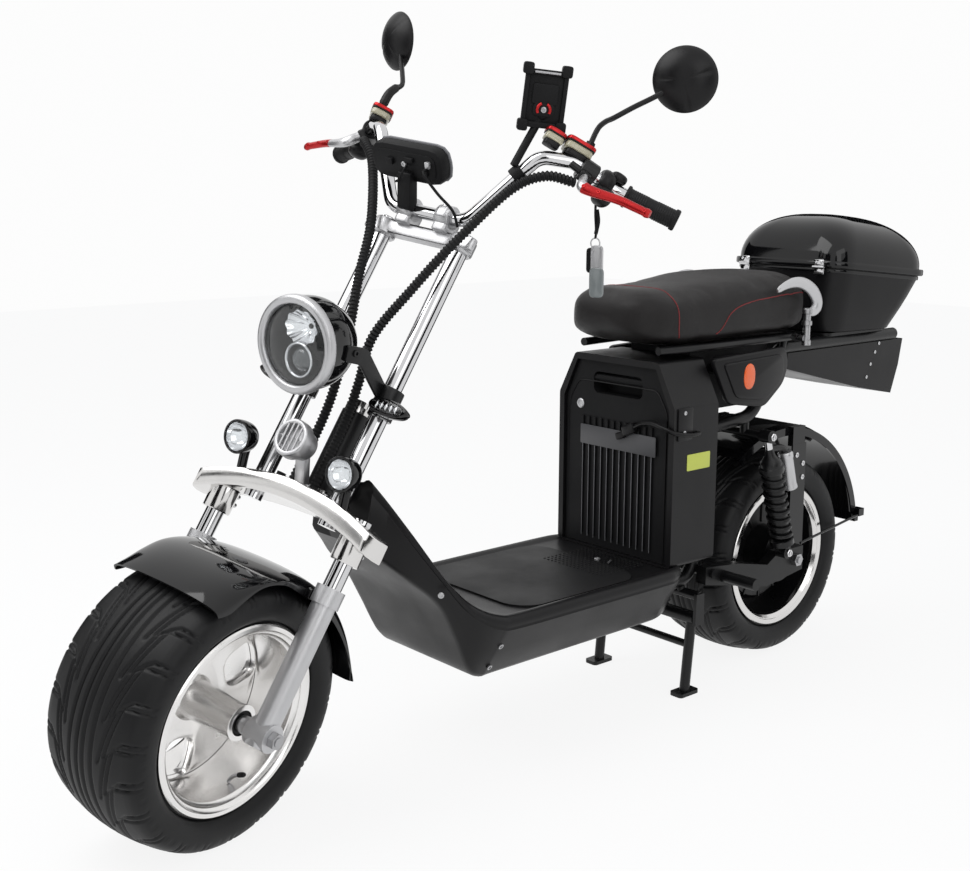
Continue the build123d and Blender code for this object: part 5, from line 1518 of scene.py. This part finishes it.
@dataclass
class GrabArms:
    """The two curved castings beside the seat, on posts from the rail."""

    y: float = 156.0

    def build(self) -> None:
        """Makes each arm as a bar of changing size, with its post, collars and foot."""
        arms, posts = shapes(CHASSIS, 2)
        for side in (1, -1):
            y = side * self.y
            path = smooth([(124, y, 852), (96, y, 862), (66, y, 867), (36, y, 864), (8, y, 852),
                           (-12, y, 835), (-20, y, 817), (-12, y, 804), (4, y, 800), (16, y, 800)], 90)
            size = np.interp(np.linspace(0, 1, 90), [0, 0.03, 0.2, 0.5, 0.72, 0.9, 0.98, 1],
                             [4, 7, 11, 15, 15, 9, 8, 5])
            arms.rod(path, size, 22, LEFT, 0.62)
            posts.lathe([[0.1, 9], [9, 9], [11, 7], [11, -2], [8, -4], [8, -18], [11, -19], [11, -28],
                         [8, -30], [8, -60], [10, -61], [10, -72], [0.1, -73]], 32,
                        local=CHASSIS.upright((14, y, 800.0)))
            posts.rod(line((21, y, 743.2), (21, side * 126, 743.2), 3), 7, 16, AHEAD)
        arms.piece("grab_arm_castings", CAST, "grab_arms")
        posts.piece("grab_arm_posts", STEEL)


@dataclass
class CaseTrim:
    """The top case's two shells, the bands round its split, its hinges and its latches."""

    x: float = -252.0
    long: float = 306.0
    half: float = 190.0
    split: float = 875.0
    slope: float = 0.1

    def outline(self, share: float, grow: float = 0.0) -> Array:
        """The case's plan about its middle as (n, 2) points, pushed out by grow."""
        long, wide = self.long * share + 2 * grow, self.half * share + grow
        corners = np.array([[long / 2, 0.78 * wide], [-long / 2, wide], [-long / 2, -wide],
                            [long / 2, -0.78 * wide]])
        return soften(corners, (0.19 + 0.25 * (1 - share)) * long, 10)

    def band(self, shape: Shape, lift: float, high: float, share: float, grow: float) -> None:
        """Adds a closed rounded band at a height above the split plane."""
        plan = self.outline(share)
        out = self.outline(share, grow)
        rows = []
        for w, v in ((0.0, 0.0), (0.7, 0.02), (1.0, 0.18), (1.0, 0.82), (0.7, 0.98), (0.0, 1.0)):
            ring = plan + (out - plan) * w
            up = lift + v * high
            x = self.x + ring[:, 0] - self.slope * up
            rows.append(np.stack([x, ring[:, 1], self.split + self.slope * ring[:, 0] + up], -1))
        shape.grid(np.array(rows), wrap_v=True)
        shape.grid(np.array([rows[-1], rows[0]]), wrap_v=True)

    def on_split(self, plan: Array, up: float) -> Array:
        """A plan laid in the split plane and lifted square to it."""
        return np.stack([self.x + plan[:, 0] - self.slope * up, plan[:, 1],
                         self.split + self.slope * plan[:, 0] + up], -1)

    def base_rows(self, inset: float) -> list[Array]:
        """Rings of the base from its floor up to the split, inset from its skin."""
        foot = self.outline(0.8, -10.0 - inset)
        flat = np.stack([self.x + 8 + foot[:, 0], foot[:, 1], 0 * foot[:, 0] + 738 + inset], -1)
        top = self.on_split(self.outline(1.0, -inset), 0.0)
        middle = flat.mean(0)
        low = [middle + (flat - middle) * k for k in (0.001, 0.5, 0.9, 0.965)]
        rise = [flat + (top - flat) * v for v in (0.02, 0.06, 0.2, 0.4, 0.6, 0.8, 1.0)]
        swell = [0, 0, 1.2, 2.4, 2.4, 1.2, 0]
        return low + [ring + (ring - ring.mean(0)) * [w / 190, w / 190, 0] for ring, w in zip(rise, swell)]

    def lid_rows(self, inset: float) -> list[Array]:
        """Rings of the lid from the split over its dome to the top, inset from its skin."""
        t = np.linspace(0, np.pi / 2, 22)
        share = 0.008 + 0.992 * np.cos(t) ** 0.72
        high = 18 + 110 * np.sin(t)
        rows = [self.on_split(self.outline(1.0, -inset), 0.6)]
        for k, h in zip(share, high):
            rows.append(self.on_split(self.outline(k, -inset * min(1, 6 * k)), h - inset))
        return rows

    def build(self) -> None:
        """Makes both shells, the bands round the split, the hinges in front and the latches behind."""
        Shape(CHASSIS).grid(np.array(self.base_rows(0.0) + self.base_rows(4.0)[::-1]), wrap_v=True) \
            .piece("case_base_shell", SATIN, "case_base", crease=30)
        Shape(CHASSIS).grid(np.array(self.lid_rows(4.0)[::-1] + self.lid_rows(0.0)), wrap_v=True) \
            .piece("case_lid_shell", GLOSS, "case_lid", Body.LID, crease=50)
        lid, base = shapes(CHASSIS, 2)
        self.band(lid, 1.0, 15, 1.015, 5.0)
        lid.piece("lid_trim_band", GLOSS, body=Body.LID)
        self.band(base, -9.5, 9, 0.985, 3.2)
        base.piece("base_trim_band", GLOSS)
        pin_x = self.x + self.long / 2 + 8
        pin_z = self.split + self.slope * (self.long / 2 + 8)
        pins, leaves = shapes(CHASSIS, 2)
        for y in (-104, 104):
            pins.rod(line((pin_x, y - 15, pin_z), (pin_x, y + 15, pin_z), 3), 3.6, 16, AHEAD)
            pins.block((pin_x - 3, y, pin_z - 8), (26, 16, 3), 0.8, (1, 0, 0.1), LEFT, 3)
            leaves.block((pin_x - 2.4, y, pin_z + 10), (26, 14, 3), 0.8, (1, 0, 0.1), LEFT, 3)
            leaves.bolt((pin_x - 1.4, y - 7, pin_z + 11), AHEAD, 3, 2)
            leaves.bolt((pin_x - 1.4, y + 7, pin_z + 11), AHEAD, 3, 2)
        back = self.x - self.long / 2
        for side in (-1, 1):
            leaves.block((back - 6.5, side * 60, self.split - 6), (34, 14, 4), 1, (-1, 0, 0), LEFT, 4)
            leaves.bolt((back - 8, side * 60, self.split - 4), (-1, 0, 0), 4, 3)
        pins.piece("case_hinge_pins", CHROME)
        leaves.piece("case_hinge_leaves", CHROME, body=Body.LID)


@dataclass
class RearDetails:
    """Springs, dampers, tanks, mudguard bolts and tail rivets at the back."""

    foot: Triple = (66.0, 160.0, 268.0)
    top: Triple = (143.0, 160.0, 540.0)
    turns: float = 8.0
    pitch: float = 19.0

    def build(self) -> None:
        """Makes the two shocks and then the small fasteners."""
        foot, top = np.array(self.foot), np.array(self.top)
        way = unit(top - foot)
        side_way = np.cross(way, [0, 1.0, 0])
        coils, dark, bright, cast = shapes(CHASSIS, 4)
        a = np.linspace(0, 2 * np.pi * self.turns, 420)[:, None]
        round_way = np.cos(a) * side_way + np.sin(a) * [0, 1.0, 0]
        helix = foot + way * (40 + self.pitch * a / (2 * np.pi)) + 22.5 * round_way
        end = 45 + 8 * self.pitch
        length = float(np.linalg.norm(top - foot))
        for side in (1, -1):
            flip = np.array([1.0, side, 1.0])
            coils.rod(helix * flip, 4.4, 12, way)
            cast.local = dark.local = bright.local = CHASSIS.facing(foot * flip, way)
            bright.lathe([[0.1, 6], [8.6, 6], [8.6, length - 8], [0.1, length - 8]], 28)
            dark.lathe([[9, 18], [24, 19], [27, 22], [27, 33], [24, 35.5], [12, 36], [12, 60], [9, 62]], 40)
            dark.lathe([[9, end - 2], [26, end], [27.4, end + 3], [27.4, end + 14], [24, end + 17],
                        [23, length - 60], [18, length - 54], [12, length - 46], [9, length - 30]], 40)
            dark.lathe([[19.5, 40], [20.5, 42], [20.5, end - 3], [19.5, end - 2]], 40)
            tank = foot + np.array([-46.0, 0, 30])
            cast.local = CHASSIS.facing(tank * flip, way)
            cast.lathe([[0.1, 117], [13, 117], [16.8, 120], [16.8, 126], [15.6, 128], [15.6, 192],
                        [16.8, 194], [16.8, 204], [14, 208], [0.1, 208]], 40)
            cast.local = dark.local = bright.local = CHASSIS
            dark.rod(smooth([(tank + way * 203) * flip, (tank + way * 212 + [14, 0, 6]) * flip,
                             (top - way * 30) * flip], 14), 8, 16)
            for spot in (foot * flip, top * flip):
                dark.rod(line(spot - [0, side * 13, 0], spot + [0, side * 13.5, 0], 3), 14, 28, AHEAD)
                bright.bolt(spot + [0, side * 13.5, 0], (0, side, 0), 9, 6, 6)
                bright.bolt(spot + [0, side * 19, 0], (0, side, 0), 6, 3)
            for x, z in ((-48, 448), (-48, 416), (-24, 470)):
                bright.bolt((x, side * 117.7, z), (0, side, 0), 6, 3.5)
            for x, z in ((-351, 699), (-336, 679), (-320, 651), (-306, 621)):
                bright.bolt((x, side * 103.9, z), (0, side, 0), 4, 2)
        coils.piece("shock_coils", POWDER, "shock_springs")
        dark.piece("shock_dampers", BLACK_ALLOY, "shock_bodies")
        bright.piece("rear_bolts_and_rods", CHROME)
        cast.piece("shock_tanks", CAST)


# Seat


@dataclass
class Seat:
    """The long two-part cushion with red seams."""

    voxel: float = 0.006
    puff: float = 0.006

    def section(self, x: Array, phi: Array, inset: float = 0.0) -> Array:
        """Points of the cushion's skin.

        Args:
            x: places along the seat.
            phi: angle round the section, 0 at the left side and a quarter turn at the top.
            inset: distance inside the skin.

        Returns:
            Points on superellipses between the seat's top and bottom lines.
        """
        xs = [-49, -44, -30, 0, 60, 120, 193, 260, 320, 383, 430, 460, 485, 500, 508, 512]
        half = curve(x, xs,
                     [84, 100, 120, 137, 146, 147, 147, 145, 142, 137, 129, 119, 102, 82, 60, 36]) - inset
        top = curve(x, xs,
                    [842, 858, 872, 881, 883, 883, 881, 873, 866, 863, 864, 863, 858, 848, 836, 822]) - inset
        low = curve(x, xs,
                    [796, 778, 764, 757, 754, 753, 752, 752, 752, 753, 756, 760, 768, 778, 790, 804]) + inset
        c, s = np.cos(phi), np.sin(phi)
        y = half * np.sign(c) * np.abs(c) ** 0.5
        middle = low + (top - low) * 0.42
        z = middle + np.where(s > 0, (top - middle) * np.abs(s) ** 0.62, -(middle - low) * np.abs(s) ** 0.3)
        return np.stack([x + 0 * y, y, z], -1)

    def build(self) -> None:
        """Makes the cushion by a cloth pass with capped swelling, then its seams on the final skin."""
        x = np.linspace(-49, 512, 96)[:, None]
        phi = around(64)[None]
        shape = Shape(CHASSIS).tube(self.section(x, phi, 3.0))
        cushion = shape.piece("seat_cushion", LEATHER, "seat", crease=180)
        self.swell(cushion)
        tree = BVHTree.FromObject(cushion, bpy.context.evaluated_depsgraph_get())
        seams = Shape(CHASSIS)
        a = np.linspace(-0.5, np.pi + 0.5, 300)
        self.stitch(seams, tree, self.section(404 - 14 * np.maximum(0, -np.sin(a)), a))
        for side in (1, -1):
            route = [(292, 757), (272, 786), (250, 812), (211, 828), (140, 838), (58, 846), (-20, 848),
                     (-44, 846)]
            side_line = smooth([(x, side * 150, z) for x, z in route], 260)
            self.stitch(seams, tree, side_line)
        seams.piece("seat_seams", THREAD)

    def stitch(self, seams: Shape, tree: BVHTree, route: Array) -> None:
        """Adds a row of stitches: a thread pinched between stitches, on the nearest skin."""
        world = CHASSIS.place(route)
        near = np.array([tree.find_nearest(Vector(p))[0] for p in world])
        local = (near - CHASSIS.origin) * 1000
        run = run_along(local)
        radius = 0.25 + 1.0 * np.abs(np.sin(np.pi * run / 6.0)) ** 0.5
        seams.rod(local, radius, 8, (0.3, 0.2, 0.1))

    def swell(self, cushion: bpy.types.Object) -> None:
        """Remeshes the cushion, blows it up under cloth for twenty frames and caps how far it moved."""
        remesh = cushion.modifiers.new("even", "REMESH")
        remesh.mode = "VOXEL"
        remesh.voxel_size = self.voxel
        apply_all(cushion)
        rest = np.empty(len(cushion.data.vertices) * 3, np.float32)
        cushion.data.vertices.foreach_get("co", rest)
        cloth = cushion.modifiers.new("swell", "CLOTH")
        cloth.settings.use_pressure = True
        cloth.settings.uniform_pressure_force = 4.0
        cloth.settings.effector_weights.gravity = 0.0
        for step in range(1, 21):
            bpy.context.scene.frame_set(step)
        apply_all(cushion)
        bpy.context.scene.frame_set(1)
        moved = np.empty_like(rest)
        cushion.data.vertices.foreach_get("co", moved)
        shift = (moved - rest).reshape(-1, 3)
        far = np.linalg.norm(shift, axis=1, keepdims=True)
        shift *= np.minimum(1, self.puff / np.maximum(far, 1e-9))
        cushion.data.vertices.foreach_set("co", (rest.reshape(-1, 3) + shift).ravel())
        even = cushion.modifiers.new("ease", "SMOOTH")
        even.iterations = 6
        finer = cushion.modifiers.new("finer", "SUBSURF")
        finer.levels = finer.render_levels = 1
        apply_all(cushion)
        cushion.data.polygons.foreach_set("use_smooth", [True] * len(cushion.data.polygons))


def apply_all(made: bpy.types.Object) -> None:
    """Replaces an object's mesh by the one its modifiers give, and takes the modifiers away."""
    graph = bpy.context.evaluated_depsgraph_get()
    mesh = bpy.data.meshes.new_from_object(made.evaluated_get(graph))
    made.modifiers.clear()
    made.data = mesh


# Setting


def make_camera() -> None:
    """Puts the camera where it sees the scooter as the photograph does."""
    data = bpy.data.cameras.new("camera")
    data.sensor_width = 36
    data.lens = 48.99
    camera = add_object("camera", data)
    yaw, pitch, roll = (math.radians(a) for a in (-130.694, 10.943, 0.188))
    ahead = Vector((math.cos(yaw) * math.cos(pitch), math.sin(yaw) * math.cos(pitch), -math.sin(pitch)))
    right = ahead.cross(Vector(UP)).normalized()
    up = right.cross(ahead)
    turned = right * math.cos(roll) + up * math.sin(roll)
    up = turned.cross(ahead)
    place = Matrix((turned, up, -ahead)).transposed().to_4x4()
    place.translation = Vector(CHASSIS.place(np.array([2430, 1885, 1081.0])))
    camera.matrix_world = place
    data.clip_end = 50
    bpy.context.scene.camera = camera


def light_path_white(tree: Tree) -> Socket:
    """A socket that is 1 for rays from the camera, from gloss and through glass."""
    rays = tree.nodes.new("ShaderNodeLightPath").outputs
    seen = maths(tree, "MAXIMUM", rays["Is Camera Ray"], rays["Is Glossy Ray"])
    return maths(tree, "MAXIMUM", seen, rays["Is Transmission Ray"])


def plain_material(name: str, grey: float) -> bpy.types.Material:
    """A matt grey for what only sets the scene."""
    material = bpy.data.materials.new(name)
    material.use_nodes = True
    shader = material.node_tree.nodes["Principled BSDF"]
    shader.inputs["Base Color"].default_value = (grey, grey, grey, 1)
    shader.inputs["Specular IOR Level"].default_value = 0.0
    return material


# Each board's direction, width in degrees, bottom, top and distance
BOARDS = ((8, 26, 0.2, 3.0, 3.6), (96, 30, 0.3, 2.6, 3.6), (200, 40, 0.1, 2.4, 3.8), (290, 44, 0.1, 2.8, 3.8),
          (52, 9, 0.2, 2.6, 4.4), (331, 5, 1.8, 3.4, 3.7), (343, 4, 1.8, 3.4, 3.7))


def make_flags() -> None:
    """Dark upright boards out of view that only gloss and chrome reflect."""
    dark = plain_material("dark_board", 0.01)
    for number, (degrees, wide, low, high, away) in enumerate(BOARDS):
        turn = np.radians(np.linspace(degrees - wide / 2, degrees + wide / 2, 9))
        ring = np.stack([away * np.cos(turn), away * np.sin(turn)], -1)
        points = [(x, y, z) for z in (low, high) for x, y in ring]
        faces = [(k, k + 1, k + 10, k + 9) for k in range(8)]
        mesh = bpy.data.meshes.new(f"board_{number}")
        mesh.from_pydata(points, [], faces)
        mesh.materials.append(dark)
        board = add_object(f"board_{number}", mesh)
        board.visible_camera = board.visible_diffuse = False
        board.visible_shadow = board.visible_transmission = False


def make_setting() -> None:
    """A pale floor, a white world and soft plain lamps."""
    scene = bpy.context.scene
    scene.view_settings.view_transform = "Standard"
    world = bpy.data.worlds.new("studio")
    scene.world = world
    world.use_nodes = True
    tree = world.node_tree
    back = tree.nodes["Background"]
    mix = tree.nodes.new("ShaderNodeMix")
    mix.data_type = "RGBA"
    mix.inputs[6].default_value = (0.6, 0.61, 0.63, 1)
    mix.inputs[7].default_value = (0.979, 0.979, 0.979, 1)
    tree.links.new(light_path_white(tree), mix.inputs["Factor"])
    tree.links.new(mix.outputs[2], back.inputs["Color"])
    mesh = bpy.data.meshes.new("floor")
    mesh.from_pydata([(-9, -9, 0), (9, -9, 0), (9, 9, 0), (-9, 9, 0)], [], [(0, 1, 2, 3)])
    add_object("floor", mesh)
    paint = plain_material("pale_floor", 0.88)
    nodes, links = paint.node_tree.nodes, paint.node_tree.links
    nodes["Principled BSDF"].inputs["Roughness"].default_value = 0.9
    glow = nodes.new("ShaderNodeEmission")
    glow.inputs["Strength"].default_value = 1.02
    blend = nodes.new("ShaderNodeMixShader")
    part = maths(paint.node_tree, "MULTIPLY", light_path_white(paint.node_tree), 0.86)
    links.new(part, blend.inputs["Fac"])
    links.new(nodes["Principled BSDF"].outputs[0], blend.inputs[1])
    links.new(glow.outputs[0], blend.inputs[2])
    links.new(blend.outputs[0], nodes["Material Output"].inputs["Surface"])
    mesh.materials.append(paint)
    make_flags()
    for name, where, size, power in (("key", (1.6, -0.6, 3.0), 2.2, 42), ("fill", (0.6, 3.2, 2.0), 2.6, 20)):
        lamp = bpy.data.lights.new(name, "AREA")
        lamp.size = size
        lamp.energy = power
        made = add_object(name, lamp)
        made.location = where
        made.rotation_euler = (Vector((0, 0, 0.5)) - Vector(where)).to_track_quat("-Z", "Y").to_euler()


NODE_FINISHES: dict[Finish, tuple[str, ...]] = {
    GLOSS: ("front_fender", "rear_fender", "case_lid", "turn_signals", "headlight_shell"),
    SATIN: ("deck_body", "battery_housing", "tail_panel", "case_base", "bar_controls", "fog_lamps", "mirrors",
            "side_covers"),
    MATTE: ("battery_pack", "under_seat", "phone_holder", "seat", "display", "key_fobs"),
    MAT: ("deck_mat",),
    POWDER: ("frame", "swingarm", "centre_stand", "shock_springs", "rear_pegs"),
    CHROME: ("fork_tubes", "handlebar"),
    POLISHED: ("lower_yoke", "front_rim", "upper_yoke"),
    CAST: ("fork_lowers", "grab_arms", "headlight_ring", "horn", "front_caliper"),
    BLACK_ALLOY: ("rear_rim", "hub_motor", "shock_bodies", "rear_caliper"),
    STEEL: ("front_disc", "rear_disc", "front_axle", "rear_axle_bolt"),
    RUBBER: ("front_tyre", "rear_tyre"),
    GRIP_RUBBER: ("grips", "cable_sleeves"),
    RED_METAL: ("brake_levers",),
    RED_LENS: ("tail_lamp",),
    ORANGE: ("side_reflectors",),
    CLEAR: ("lamp_lenses",),
}
ALL_FINISHES = [*NODE_FINISHES, MACHINED, LEATHER, THREAD, BRIGHT, SMOKE, GREY, TAG, LABEL, LIME, AMBER]
GROUPS = {"smudge": make_smudge(), "grain": make_grain(), "pebble": make_pebble(), "tint": make_tint(),
          "streaks": make_streaks()}
MATERIALS = {finish.name: finish.make(GROUPS) for finish in ALL_FINISHES}


def dress_nodes() -> None:
    """Gives every CAD node its finish."""
    for finish, names in NODE_FINISHES.items():
        for name in names:
            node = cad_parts[name]
            node.data.materials.clear()
            node.data.materials.append(MATERIALS[finish.name])


def main() -> None:
    """Builds every sub-assembly in order."""
    logging.basicConfig(level=logging.INFO, format="%(message)s")
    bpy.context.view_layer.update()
    make_camera()
    make_setting()
    dress_nodes()
    tyres = (Tyre("front_tyre_tread", "front_tyre", Body.FRONT, FORK),
             Tyre("rear_tyre_tread", "rear_tyre", Body.REAR, AXLE))
    for part in (*tyres, FrontRim(), RearRim(), FrontFender(), Headlight(), SmallLamps(), Sleeves(),
                 Bars(), Dash(), Keys(), Yokes(), TurnSignals(), Battery(), Deck(), Covers(), GrabArms(),
                 CaseTrim(), RearDetails(), Seat()):
        part.build()


if __name__ == "__main__":
    main()
